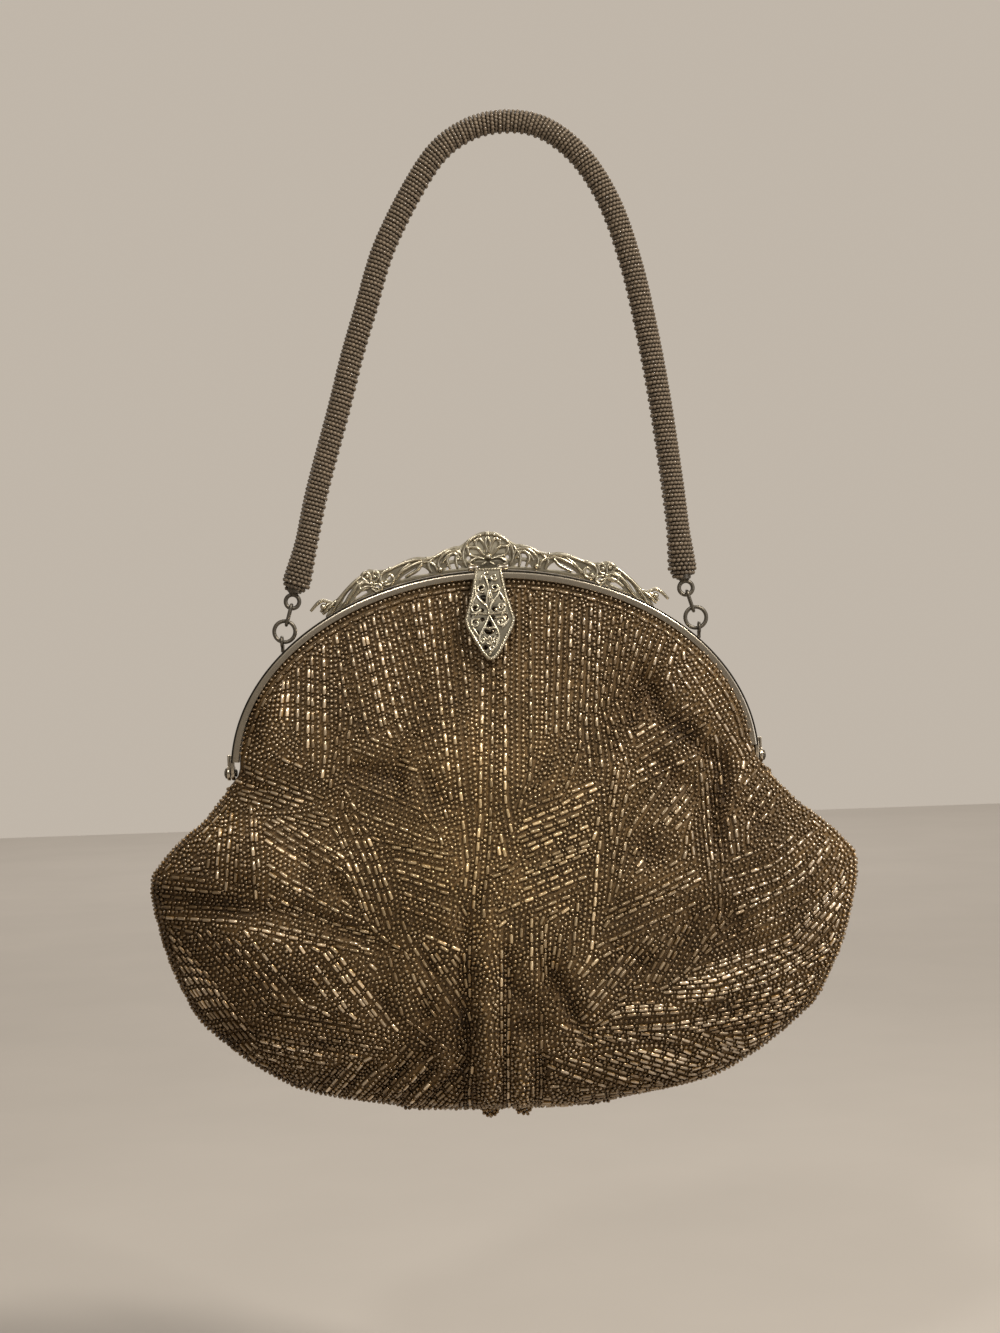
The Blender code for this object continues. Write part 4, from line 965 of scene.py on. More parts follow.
class Finish(Tree):
    """A material under making."""

    def __init__(self, name, **sockets):
        material = bpy.data.materials.new(name)
        material.use_nodes = True
        super().__init__(material.node_tree)
        self.shader = self.nodes["Principled BSDF"]
        for socket, value in sockets.items():
            self.shader.inputs[socket.replace("_", " ")].default_value = value

    def to_shader(self, socket, output):
        self.links.new(output, self.shader.inputs[socket])

    def noise(self, scale, detail=3.0, roughness=0.55):
        place_node = self.add("ShaderNodeTexCoord")
        return self.add("ShaderNodeTexNoise", {
            "Vector": place_node.outputs["Object"], "Scale": scale, "Detail": detail,
            "Roughness": roughness,
        }).outputs["Fac"]

    def ramp(self, factor, stops):
        node = self.add("ShaderNodeValToRGB", {"Fac": factor})
        elements = node.color_ramp.elements
        while len(elements) < len(stops):
            elements.new(0.5)
        for element, (position, colour) in zip(elements, stops):
            element.position = position
            element.color = (*colour, 1)
        return node.outputs["Color"]

    def shaded(self, tint):
        """A colour with the cloth's painted shade, warmer in the folds' hollows."""
        share = self.add("ShaderNodeAttribute", attribute_name="shade").outputs["Fac"]
        warmth = self.ramp(share, ((0.4, WARM_PAINTED_SHADE), (1.0, (1, 1, 1))))
        return self.mix(1.0, self.mix(1.0, tint, share, "MULTIPLY"), warmth, "MULTIPLY")

    def spread(self, factor, low, high):
        return self.add("ShaderNodeMapRange", {"Value": factor, "To Min": low, "To Max": high}).outputs[0]

    def bump(self, height, distance, strength=0.6):
        node = self.add("ShaderNodeBump", {"Height": height, "Distance": distance, "Strength": strength})
        self.to_shader("Normal", node.outputs["Normal"])


def tinted(colour, factor):
    return tuple(min(1.0, channel * factor) for channel in colour)


def make_cloth_finish(name, colour, thread, sheen, shaded=False, clouds=(0.62, 1.3)):
    """Satin: crossing threads, a cloudy colour and a soft sheen, and the folds' painted shade when shaded."""
    finish = Finish(
        name, Roughness=0.42, Specular_IOR_Level=0.25, Sheen_Weight=sheen, Sheen_Roughness=0.4)
    cloud = finish.noise(90, 4)
    tint = finish.ramp(cloud, ((0.3, tinted(colour, clouds[0])), (0.7, tinted(colour, clouds[1]))))
    places = finish.add("ShaderNodeTexCoord").outputs["Object"]
    threads = []
    for direction in ("X", "Z"):
        threads.append(finish.add("ShaderNodeTexWave", {
            "Vector": places, "Scale": 1 / thread, "Distortion": 0.6, "Detail": 1.0,
        }, bands_direction=direction).outputs["Fac"])
    weave = finish.add(
        "ShaderNodeMath", {0: threads[0], 1: threads[1]}, operation="MULTIPLY").outputs[0]
    tint = finish.mix(1.0, tint, finish.spread(weave, 0.75, 1.1), "MULTIPLY")
    finish.to_shader("Base Color", finish.shaded(tint) if shaded else tint)
    finish.bump(weave, 0.1 * MM)


def make_glass_finish(name, dark, gold, silver, roughness, metallic=0.5, coat=0.5):
    """Lined glass: a dark body, a painted highlight along the crown where the bright lining shows, and a
    little dust.
    """
    finish = Finish(name, Metallic=metallic, Coat_Roughness=0.1, IOR=1.52, Specular_IOR_Level=0.3)
    tone, share, crown, hollow = (
        finish.add("ShaderNodeAttribute", attribute_name=word).outputs["Fac"]
        for word in ("tone", "gold", "crown", "shade"))
    # Painted shade: less coat, so a dimmer reflection, in the folds' hollows
    finish.to_shader("Coat Weight", finish.spread(hollow, 0.0, coat))
    tints = []
    for light in (silver, gold):
        low = tuple(0.6 * a + 0.4 * b for a, b in zip(dark, light))
        # The top of the ramp is mostly the painted glint of a few beads
        tints.append(finish.ramp(tone, (
            (0.0, low), (0.5, light), (0.93, tinted(light, 1.3)), (1.0, tinted(light, 1.9)))))
    body = finish.ramp(tone, ((0.0, tinted(dark, 0.75)), (1.0, tinted(dark, 1.7))))
    # Painted highlight: the lining's light colour along the crown, the dark body at the sides
    painted_highlight = finish.ramp(crown, ((HIGHLIGHT_EDGE, (0, 0, 0)), (HIGHLIGHT_FULL, (1, 1, 1))))
    tint = finish.mix(painted_highlight, body, finish.mix(share, *tints))
    dust = finish.noise(160, 3)
    tint = finish.mix(finish.spread(dust, 0.0, 0.3), tint, tinted(dark, 1.1))
    finish.to_shader("Base Color", finish.shaded(tint))
    finish.to_shader("Roughness", finish.spread(dust, roughness * 0.7, roughness * 1.5))
    finish.bump(finish.noise(1500, 2), 0.02 * MM, 0.3)


def make_metal_finish(name, colour, roughness, tarnish, grain, metallic=1.0):
    """Plated metal: clouds of tarnish, fine scratches and uneven gloss."""
    finish = Finish(name, Metallic=metallic, Specular_IOR_Level=0.4)
    cloud = finish.noise(260, 5, 0.6)
    tint = finish.ramp(cloud, (
        (0.28, tinted(colour, tarnish)), (0.55, colour), (0.8, tinted(colour, 1.12))))
    finish.to_shader("Base Color", tint)
    finish.to_shader("Roughness", finish.spread(cloud, roughness * 1.5, roughness * 0.7))
    finish.bump(finish.noise(grain, 4, 0.7), 0.03 * MM, 0.35)


def make_floor_finish(colour):
    finish = Finish("pale_floor", Roughness=0.85)
    tint = finish.ramp(finish.noise(6, 3), ((0.3, tinted(colour, 0.97)), (0.7, tinted(colour, 1.03))))
    finish.to_shader("Base Color", tint)
    finish.bump(finish.noise(400, 2), 0.1 * MM, 0.2)


class BAG_OT_finishes(bpy.types.Operator):
    """Make the finishes of cloth, glass and metal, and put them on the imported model's own pieces"""

    bl_idname = "bag.finishes"
    bl_label = "Finishes"

    def execute(self, context):
        colours = context.scene.bag_colours
        # The beads' satin is shaded: it takes the folds' painted shade
        make_cloth_finish("beading_satin", colours.satin, 0.5 * MM, 0.04, True)
        make_cloth_finish("lining_cloth", colours.lining, 0.35 * MM, 0.2, clouds=(0.93, 1.05))
        make_cloth_finish("cotton_cord", (0.45, 0.40, 0.33), 0.8 * MM, 0.1)
        make_cloth_finish("rope_satin", tinted(colours.rope, 0.5), 0.5 * MM, 0.04)
        lights = (colours.glass_gold, colours.glass_silver)
        make_glass_finish("bugle_glass", colours.glass_dark, *lights, 0.2)
        make_glass_finish("seed_glass", tinted(colours.glass_dark, 0.85), *lights, 0.24)
        rope = colours.rope
        make_glass_finish("rope_glass", tinted(rope, 0.5), rope, rope, 0.5, 0.15, 0.2)
        make_metal_finish("nickel_plate", colours.nickel, 0.24, 0.72, 2500)
        make_metal_finish("cast_silver", colours.silver, 0.26, 0.6, 1800)
        make_metal_finish("old_silver", tinted(colours.silver, 0.3), 0.42, 0.6, 1500)
        make_metal_finish("dull_silver", tinted(colours.silver, 0.6), 0.4, 0.6, 1500)
        make_metal_finish("dark_wire", tinted(colours.nickel, 0.26), 0.38, 0.6, 3000, 0.9)
        # Near-black metal for the painted shade line along the front band
        make_metal_finish("black_edge", tinted(colours.nickel, 0.06), 0.5, 0.6, 3000)
        for node, name in (
            ("handle_core", "cotton_cord"),
            ("clasp_lever", "old_silver"), ("clasp_pin", "dark_wire"),
        ):
            piece = frame["nodes"][node]
            piece.data.materials.clear()
            piece.data.materials.append(bpy.data.materials[name])
        return {"FINISHED"}


# Cloth

def gathers(x, height):
    """Soft gathers of the lining, spreading down from the frame."""
    around = np.arctan2(height - GATHER_HEIGHT, x)
    wave = np.sin(GATHER_COUNT * around + 1.5 * np.sin(7 * around))
    wave = wave + 0.5 * np.sin(1.7 * GATHER_COUNT * around + 2)
    return GATHER_DEPTH * wave * eased((height - GATHER_START) / GATHER_EASE)


def make_sheet(name, facing, strength, drop, inset, thickness, rows, columns):
    """One side of the bag from hem to arch, and the area it was cut to."""
    clear_selection()
    bpy.ops.mesh.primitive_grid_add(x_subdivisions=columns, y_subdivisions=rows, size=2)
    made = bpy.context.object
    flat = coordinates(made.data)
    top = FRAME_TOP - NECK_INSET - inset
    low = HEM_LOW + inset
    height = low + (top - low) * (1 - np.cos(math.pi * (flat[:, 1] + 1) / 2)) / 2
    share = 0.45 * flat[:, 0] + 0.55 * np.sin(math.pi / 2 * flat[:, 0])
    x = leaned(share * half_width(height, inset))
    lower = drop * eased(4 * (1 - np.abs(share)))
    depth = np.maximum(cloth_depth(x, height, strength, inset) - lower, 0)
    if inset:
        depth += gathers(x, height) * eased(depth / (3 * MM))
        cloth = cloth_depth(x, height, bpy.context.scene.bag_sizes.fold_strength)
        depth = np.maximum(np.minimum(depth, cloth - LINING_GAP), 0)
    points = np.column_stack([AXIS_X + x, facing * depth, HEM_Z + height])
    made.data.vertices.foreach_set("co", points.ravel())
    made.data.update()
    area = sum(face.area for face in made.data.polygons)
    if facing > 0:
        only(made)
        bpy.ops.object.mode_set(mode="EDIT")
        bpy.ops.mesh.select_all(action="SELECT")
        bpy.ops.mesh.flip_normals()
        bpy.ops.object.mode_set(mode="OBJECT")
    shape_with(made, "SOLIDIFY", thickness=thickness, offset=-1)
    made.data.shade_smooth()
    made = settle(made, name)
    points = coordinates(made.data)
    # Painted shade of the folds, for the satin's finish to read
    note(made.data, "shade", shade(points[:, 0] - AXIS_X, points[:, 2] - HEM_Z))
    return made, area


def dress_side(made, facing, material):
    """Gives a sheet its finish. The back rides on the bag; the front is given no body, and its place goes into
    its mesh.
    """
    dress(made, material, None if facing < 0 else "bag")
    if facing < 0:
        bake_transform(made)


def sew(name, facing, nodes, material, slot, *shape):
    """Makes one sheet, gives it its finish, and hides the nodes it stands for."""
    made, area = make_sheet(name, facing, *shape)
    dress_side(made, facing, material)
    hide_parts(*nodes)


class BAG_OT_cloth(bpy.types.Operator):
    """Make the satin of both sides of the bag, with its folds and pleats"""

    bl_idname = "bag.cloth"
    bl_label = "Beading satin"

    def execute(self, context):
        shape = (
            context.scene.bag_sizes.fold_strength, 0, 0, CLOTH_THICKNESS, CLOTH_ROWS, CLOTH_COLUMNS)
        for name, facing, nodes in (
            ("front_satin", -1, ("front_panel",)), ("back_satin", 1, ("back_panel", "pouch_body")),
        ):
            sew(name, facing, nodes, "beading_satin", "beaded_satin", *shape)
        return {"FINISHED"}


class BAG_OT_lining(bpy.types.Operator):
    """Make the lining inside both sides of the bag"""

    bl_idname = "bag.lining"
    bl_label = "Lining"

    def execute(self, context):
        shape = (
            LINING_FOLD_SHARE * context.scene.bag_sizes.fold_strength, LINING_DROP, LINING_INSET,
            CLOTH_THICKNESS / 2, LINING_ROWS, LINING_COLUMNS)
        for name, facing, nodes in (
            ("front_lining", -1, ("lining_front",)), ("back_lining", 1, ("lining_back", "lining_body")),
        ):
            sew(name, facing, nodes, "lining_cloth", "lining_satin", *shape)
        return {"FINISHED"}


# Bead rows

class RowField:
    """Directions, slopes and spacing of the bead rows, and the points that are already held."""

    def __init__(self, sizes):
        reach = POUCH_HALF_WIDTH * 1.04
        self.xs = np.arange(-reach, reach, FIELD_STEP)
        self.hs = np.arange(0, FRAME_TOP, FIELD_STEP)
        x, height = np.meshgrid(self.xs, self.hs, indexing="ij")
        self.depth = cloth_depth(x, height, sizes.fold_strength)
        self.slope_x, self.slope_h = np.gradient(self.depth, FIELD_STEP)
        margin = SIDE_MARGIN + ARCH_MARGIN * eased((height - HINGE) / ARCH_MARGIN_EASE)
        self.inside = np.abs(upright(x)) < half_width(height) - margin
        self.inside &= (height > HEM_LOW) & (height < FRAME_TOP - NECK_INSET - ARCH_TOP_MARGIN)
        cos2, sin2 = np.zeros(x.shape), np.zeros(x.shape)
        for stroke in ROW_STROKE_PIXELS:
            distance, _, angle = stroke_distance(x, height, stroke)
            weight = 1 / (distance**2 + STROKE_SOFTNESS**2) ** 3
            cos2 += weight * math.cos(2 * angle)
            sin2 += weight * math.sin(2 * angle)
        self.angle = np.arctan2(sin2, cos2) / 2
        centre = np.exp(-((x / WIDE_REACH) ** 2) - ((height - WIDE_HEIGHT) / WIDE_REACH) ** 2)
        self.spacing = sizes.close_spacing + (sizes.wide_spacing - sizes.close_spacing) * centre
        self.cluster = np.zeros(x.shape, bool)
        for px, py, radius in CLUSTER_PIXELS:
            cx, ch = from_photo(px, py)
            self.cluster |= np.hypot(x - cx, height - ch) < radius * METRES_PER_PIXEL
        self.cells = {}
        self.cell = 1.1 * sizes.wide_spacing

    def index(self, x, h):
        i = int((x - self.xs[0]) / FIELD_STEP + 0.5)
        j = int(h / FIELD_STEP + 0.5)
        return (i, j) if 0 <= i < len(self.xs) and 0 <= j < len(self.hs) else None

    def open_at(self, x, h):
        at = self.index(x, h)
        return at is not None and bool(self.inside[at])

    def point(self, x, h):
        """A place with the cloth's depth there."""
        across, up = (x - self.xs[0]) / FIELD_STEP, h / FIELD_STEP
        i, j = min(int(across), len(self.xs) - 2), min(int(up), len(self.hs) - 2)
        s, t = across - i, up - j
        near = self.depth[i, j] * (1 - t) + self.depth[i, j + 1] * t
        far = self.depth[i + 1, j] * (1 - t) + self.depth[i + 1, j + 1] * t
        return (x, h, float(near * (1 - s) + far * s))

    def crowded(self, point, limit):
        """Whether a held point is nearer than the limit."""
        ci, cj = int(point[0] // self.cell), int(point[1] // self.cell)
        least = limit * limit
        for i in (ci - 1, ci, ci + 1):
            for j in (cj - 1, cj, cj + 1):
                for x, h, y in self.cells.get((i, j), ()):
                    if (x - point[0]) ** 2 + (h - point[1]) ** 2 + (y - point[2]) ** 2 < least:
                        return True
        return False

    def hold(self, points):
        for x, h, y in points:
            self.cells.setdefault((int(x // self.cell), int(h // self.cell)), []).append((x, h, y))

    def advance(self, x, h, u, v, length):
        at = self.index(x, h)
        rise = self.slope_x[at] * u + self.slope_h[at] * v
        share = length / math.sqrt(1 + rise * rise)
        return x + u * share, h + v * share

    def follow(self, x, h, sign):
        """Points of a row from a start, one way along the field."""
        points = []
        u = v = None
        while len(points) * ROW_STEP < LONGEST_ROW / 2:
            angle = float(self.angle[self.index(x, h)])
            nu, nv = math.cos(angle), math.sin(angle)
            if u is None:
                u, v = sign * nu, sign * nv
            else:
                if nu * u + nv * v < 0:
                    nu, nv = -nu, -nv
                if nu * u + nv * v < SHARP_TURN:
                    break
                u, v = nu, nv
            x, h = self.advance(x, h, u, v, ROW_STEP)
            if not self.open_at(x, h) or self.cluster[self.index(x, h)]:
                break
            point = self.point(x, h)
            if self.crowded(point, CLOSEST_SHARE * float(self.spacing[self.index(x, h)])):
                break
            points.append(point)
        return points


def edge_rows(field):
    """Rows that follow the arch inside the frame, and the sides down to the hem."""
    rows = []
    for inset, kind in ARCH_ROW_INSETS:
        rise, width = FRAME_TOP - HINGE - NECK_INSET - inset, FRAME_HALF_WIDTH - NECK_INSET - inset
        turns = np.linspace(*ARCH_ROW_TURNS, EDGE_ROW_STEPS)
        row = [field.point(width * math.cos(turn), HINGE + rise * math.sin(turn)) for turn in turns]
        rows.append((row, kind))
    for inset in SIDE_ROW_INSETS:
        for side in (-1, 1):
            heights = np.linspace(SIDE_TOP, SIDE_ROW_END, EDGE_ROW_STEPS)
            row = []
            for x, height in zip(leaned(side * half_width(heights, inset)), heights):
                if field.index(x, height) is not None:
                    row.append(field.point(x, height))
            rows.append((row, "seeds"))
    return rows


def vein_rows(field):
    rows = []
    for stroke in VEIN_STROKE_PIXELS:
        (ax, ah), (bx, bh) = from_photo(*stroke[:2]), from_photo(*stroke[2:])
        count = int(math.hypot(bx - ax, bh - ah) / ROW_STEP) + 1
        row = []
        for index in range(count):
            t = index / max(1, count - 1)
            bow = 0.04 * math.sin(math.pi * t)
            x = ax + (bx - ax) * t - bow * (bh - ah)
            h = ah + (bh - ah) * t + bow * (bx - ax)
            if field.open_at(x, h) and not field.cluster[field.index(x, h)]:
                row.append(field.point(x, h))
        rows.append((row, "seeds"))
    return rows


def lay_rows(field):
    """Evenly spaced rows over the whole side: each new one starts beside one that is laid."""
    laid = []
    for row, kind in edge_rows(field) + vein_rows(field):
        if len(row) > 3:
            field.hold(row)
            laid.append((row, kind))
    starts = [from_photo(*stroke[:2]) for stroke in ROW_STROKE_PIXELS]
    waiting = [(x, h, "bugles") for x, h in starts]
    done = 0
    while waiting or done < len(laid):
        if not waiting:
            row, kind = laid[done]
            done += 1
            other = "seeds" if kind == "bugles" else "bugles"
            for x, h, _ in row[::2]:
                at = field.index(x, h)
                angle = float(field.angle[at])
                gap = float(field.spacing[at])
                for sign in (-1, 1):
                    u, v = -sign * math.sin(angle), sign * math.cos(angle)
                    waiting.append((*field.advance(x, h, u, v, gap * ROW_GAP_SHARE), other))
            continue
        x, h, kind = waiting.pop(0)
        if not field.open_at(x, h):
            continue
        at = field.index(x, h)
        point = field.point(x, h)
        if field.cluster[at] or field.crowded(point, START_SHARE * float(field.spacing[at])):
            continue
        row = field.follow(x, h, -1)[::-1] + [point] + field.follow(x, h, 1)
        if len(row) * ROW_STEP < SHORTEST_ROW:
            continue
        field.hold(row)
        laid.append((row, kind))
    return laid


def along_row(row, lengths):
    """Plane places and directions at lengths along a row."""
    points = np.array(row)
    total = run_lengths(points)
    here = at_lengths(lengths, total, points)
    x, h, _ = headings(lengths, total, points).T
    return here[:, 0], here[:, 1], np.arctan2(h, x)


def string_beads(laid, sizes, rng):
    """The beads of the rows as (kind, x, height, angle, light)."""
    beads = []
    bugle, seed = sizes.bugle_length, sizes.seed_width
    for number, (row, kind) in enumerate(laid):
        total = float(np.linalg.norm(np.diff(np.array(row), axis=0), axis=1).sum())
        at = rng.uniform(0, 1.5) * MM
        pattern = (("seed", seed),)
        if kind == "bugles":
            pattern = (("bugle", bugle), ("small", seed * SMALL_SHARE))
        step = 0
        middles, kinds = [], []
        light = rng.choice(ROW_LIGHTS) * (BUGLE_LIGHT if kind == "bugles" else SEED_LIGHT)
        if number < ARCH_ROWS:
            light = ARCH_ROW_LIGHT
        while True:
            name, length = pattern[step % len(pattern)]
            if at + length > total:
                break
            middles.append(at + length / 2)
            kinds.append(name)
            at += length + BEAD_GAP * rng.uniform(*GAP_SHARES)
            step += 1
        while at + SEED_LENGTH_SHARE * seed < total:
            middles.append(at + seed / 2)
            kinds.append("seed")
            at += seed
        if not middles:
            continue
        x, h, angle = along_row(row, np.array(middles))
        beads += list(zip(kinds, x, h, angle, [light] * len(kinds)))
    return beads


def fill_gaps(field, beads, sizes, rng):
    """Single seeds in the clusters and in what the rows leave open, then small ones in what is left."""
    field.cells.clear()
    for kind, x, h, angle, _ in beads:
        reach = (sizes.bugle_length - sizes.bugle_width) / 2 if kind == "bugle" else 0
        for share in (-1, -0.33, 0.33, 1) if reach else (0,):
            at = x + share * reach * math.cos(angle), h + share * reach * math.sin(angle)
            if field.index(*at):
                field.hold([field.point(*at)])
    added = []
    columns, rows = np.nonzero(field.inside)
    low = [int(at) for at in np.nonzero(rows < HEM_ROWS)[0]]
    for kind, room in (("seed", SEED_ROOM), ("small", SMALL_ROOM)):
        order = list(range(len(columns))) + HEM_TRIES * low
        rng.shuffle(order)
        for index in order:
            x = field.xs[columns[index]] + rng.uniform(-0.5, 0.5) * FIELD_STEP
            h = field.hs[rows[index]] + rng.uniform(-0.5, 0.5) * FIELD_STEP
            point = field.point(x, h)
            if not field.crowded(point, room * sizes.seed_width):
                field.hold([point])
                added.append((kind, x, h, rng.uniform(0, math.pi), rng.uniform(0.6, 1.2)))
    return added


def bead_frames(beads, facing, sizes, rng, strength):
    """Places, axes, sizes and tones of beads laid on one side of the cloth."""
    x = np.array([bead[1] + rng.gauss(0, UNEVENNESS) for bead in beads])
    h = np.array([bead[2] + rng.gauss(0, UNEVENNESS) for bead in beads])
    angle = np.array([bead[3] for bead in beads])
    tiny = 0.2 * MM
    depth = cloth_depth(x, h, strength)
    slope_x = (cloth_depth(x + tiny, h, strength) - cloth_depth(x - tiny, h, strength)) / (2 * tiny)
    slope_h = (cloth_depth(x, h + tiny, strength) - cloth_depth(x, h - tiny, strength)) / (2 * tiny)
    outwards = unit(np.column_stack([-slope_x, np.ones(len(x)), -slope_h]))
    along = unit(np.column_stack([
        np.cos(angle), slope_x * np.cos(angle) + slope_h * np.sin(angle), np.sin(angle)]))
    along = along + np.array([[rng.gauss(0, AIM_UNEVENNESS) for _ in range(3)] for _ in beads])
    along = unit(along - outwards * (along * outwards).sum(axis=1)[:, None] * 0.9)
    across = unit(np.cross(outwards, along))
    up = np.cross(along, across)
    widths, shapes, tones = [], [], []
    for kind, *_ in beads:
        if kind == "bugle":
            width = sizes.bugle_width * rng.uniform(*BUGLE_WIDTHS)
            shapes.append((sizes.bugle_length * rng.uniform(*BUGLE_LENGTHS), width, width))
            # A few bugles get a painted glint; the rest get a random tone
            tones.append(PAINTED_GLINT_TONE if rng.random() < PAINTED_GLINT_SHARE else rng.betavariate(*BUGLE_TONES))
        else:
            width = sizes.seed_width * rng.uniform(*SEED_WIDTHS) * (SMALL_SHARE if kind == "small" else 1)
            shapes.append((width * SEED_LENGTH_SHARE, width, width))
            tones.append(SMALL_TONE * rng.random() if kind == "small" else rng.betavariate(*SEED_TONES))
        widths.append(width)
    cloud = np.sin(x / (7 * MM) + 2 * np.sin(h / (11 * MM)))
    cloud = cloud * np.sin(h / (9 * MM) + 1.7 * np.sin(x / (13 * MM)))
    lights = np.array([bead[4] for bead in beads])
    # Painted shade of the folds and painted light places, with random tone of the rows and clouds; it darkens
    # or lightens the colour and the tone
    shades = shade(x, h) * (1 + ROW_SHARE * (lights - 1)) * (1 + CLOUD_SHARE * cloud)
    tones = np.array(tones) * lights * shades + CLOUD_TONE * cloud
    golds = np.exp(-(((x - GOLD_X) / GOLD_REACH) ** 2) - ((h - GOLD_HEIGHT) / GOLD_REACH) ** 2)
    lift = FLOAT_SHARE * np.array(widths) / 2
    places = np.column_stack([x, depth, h]) + outwards * lift[:, None]
    roll = np.array([rng.uniform(-LARGEST_ROLL, LARGEST_ROLL) for _ in beads])
    turned = across * np.cos(roll)[:, None] + up * np.sin(roll)[:, None]
    standing = np.cross(along, turned)
    mirror = np.array([1, facing, 1])
    axes = np.stack([along, turned, standing], axis=1) * mirror
    if facing < 0:
        axes[:, 1] *= -1
    world = places * mirror + np.array([AXIS_X, 0, HEM_Z])
    return world, axes, np.array(shapes), np.clip(tones, 0, 1), golds, shades


class BAG_OT_beads(bpy.types.Operator):
    """Lay the rows of bugles and seeds on both sides of the bag"""

    bl_idname = "bag.beads"
    bl_label = "Bead rows"

    def execute(self, context):
        sizes = context.scene.bag_sizes
        rng = random.Random(sizes.seed)
        field = RowField(sizes)
        laid = lay_rows(field)
        beads = string_beads(laid, sizes, rng)
        beads += fill_gaps(field, beads, sizes, rng)
        for word, facing in (("front", -1), ("back", 1)):
            groups = {
                "bugles": [bead for bead in beads if bead[0] == "bugle"],
                "seeds_left": [bead for bead in beads if bead[0] != "bugle" and bead[1] < 0],
                "seeds_right": [bead for bead in beads if bead[0] != "bugle" and bead[1] >= 0],
            }
            for group, members in groups.items():
                kind = "bugle" if group == "bugles" else "seed"
                frames = bead_frames(members, facing, sizes, rng, sizes.fold_strength)
                made = stamp(f"{word}_{group}", kind, *frames)
                dress_side(made, facing, f"{kind}_glass")
        return {"FINISHED"}


class BAG_OT_seam(bpy.types.Operator):
    """String the seeds along the side seams and the hem, and the two tufts under it"""

    bl_idname = "bag.seam"
    bl_label = "Seam and tufts"

    def execute(self, context):
        sizes = context.scene.bag_sizes
        rng = random.Random(sizes.seed + 1)
        sweep = (1 - np.cos(np.linspace(0, math.pi, SEAM_STEPS))) / 2
        heights = SIDE_TOP - (SIDE_TOP - SEAM_END) * sweep
        widths = half_width(heights)
        right = np.column_stack([widths, heights])
        left = np.column_stack([-widths, heights])[::-1]
        outline = np.concatenate([right, left])
        outline[:, 0] = leaned(outline[:, 0])
        total = run_lengths(outline)
        places, axes, shapes, tones = [], [], [], []
        at = 0.0
        while at < total[-1]:
            (x, h), (ax, ah) = at_lengths([at, at + ROW_STEP], total, outline)
            along = Vector((-1, 0, 0))
            if at + ROW_STEP < total[-1]:
                along = Vector((ax - x, 0, ah - h)).normalized()
            out = Vector((along.z, 0, -along.x))
            swing = rng.uniform(-0.5, 0.5) * MM
            width = sizes.seed_width * rng.uniform(0.9, 1.1)
            places.append(place(x, swing, h) + out * rng.uniform(0.0, 0.35) * MM)
            axes.append([along, Vector((0, 1, 0)), along.cross(Vector((0, 1, 0)))])
            shapes.append((width * SEAM_LENGTH_SHARE, width, width))
            tones.append(rng.betavariate(*SEAM_TONES))
            at += width * SEAM_PITCH_SHARE
        made = stamp("seam_seeds", "seed", places, axes, shapes, tones)
        dress(made, "seed_glass", "bag")
        for side, word in SIDES:
            self.make_tuft(sizes, rng, side, word)
        return {"FINISHED"}

    def make_tuft(self, sizes, rng, side, word):
        """A knot of seeds under the end of a pleat."""
        places, axes, shapes, tones = [], [], [], []
        for _ in range(PICOT_TRIES):
            turn, rise = rng.uniform(0, 2 * math.pi), rng.uniform(-1, 0.45)
            share = rng.uniform(0.3, 1) ** 0.4
            out = share * math.sqrt(1 - rise * rise)
            at = place(
                side * PICOT_X + PICOT_HALF_WIDTH * 0.95 * out * math.cos(turn),
                PICOT_HALF_WIDTH * 0.75 * out * math.sin(turn), 2 * PICOT_HALF_HEIGHT * 0.8 * share * rise)
            if all((at - other).length > PICOT_ROOM * sizes.seed_width for other in places):
                places.append(at)
                tangent = Vector((-math.sin(turn), math.cos(turn), rng.uniform(-0.6, 0.6))).normalized()
                across = tangent.cross(Vector((0, 0, 1))).normalized()
                axes.append([tangent, across, tangent.cross(across)])
                width = sizes.seed_width * rng.uniform(0.85, 1.05)
                shapes.append((width * SEED_LENGTH_SHARE, width, width))
                tones.append(rng.betavariate(*TUFT_TONES))
        made = stamp(f"picot_{word}_seeds", "seed", places, axes, shapes, tones)
        dress(made, "seed_glass", "bag")
        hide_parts(f"picot_{word}")


# Handle and chain

def handle_route():
    """Evenly spaced points of the handle's middle line, from left to right."""
    ring_top, link_top = PIVOTS["ring_left_swing"], PIVOTS["link_left_swing"]
    up = (link_top - ring_top).normalized()
    eye_top = link_top + 2 * EYE_RADIUS * up
    foot = eye_top.z + PLUG_STANDOFF
    half_span = AXIS_X - eye_top.x
    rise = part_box("handle_sleeve")[1].z - HANDLE_HALF_HEIGHT - foot
    shape = [
        Vector((AXIS_X + across * half_span, 0, foot + lift * rise))
        for across, lift in HANDLE_ROUTE_SHARES
    ]
    route = np.array(curved(shape, 12))
    total = run_lengths(route)
    lengths = np.linspace(0, total[-1], int(total[-1] / HANDLE_STEP) + 1)
    return at_lengths(lengths, total, route), lengths


def from_end(lengths, total):
    return np.minimum(lengths, total - lengths)


def handle_swell(lengths):
    return HANDLE_END_SWELL * eased(1 - from_end(lengths, lengths[-1]) / HANDLE_SWELL_LENGTH)


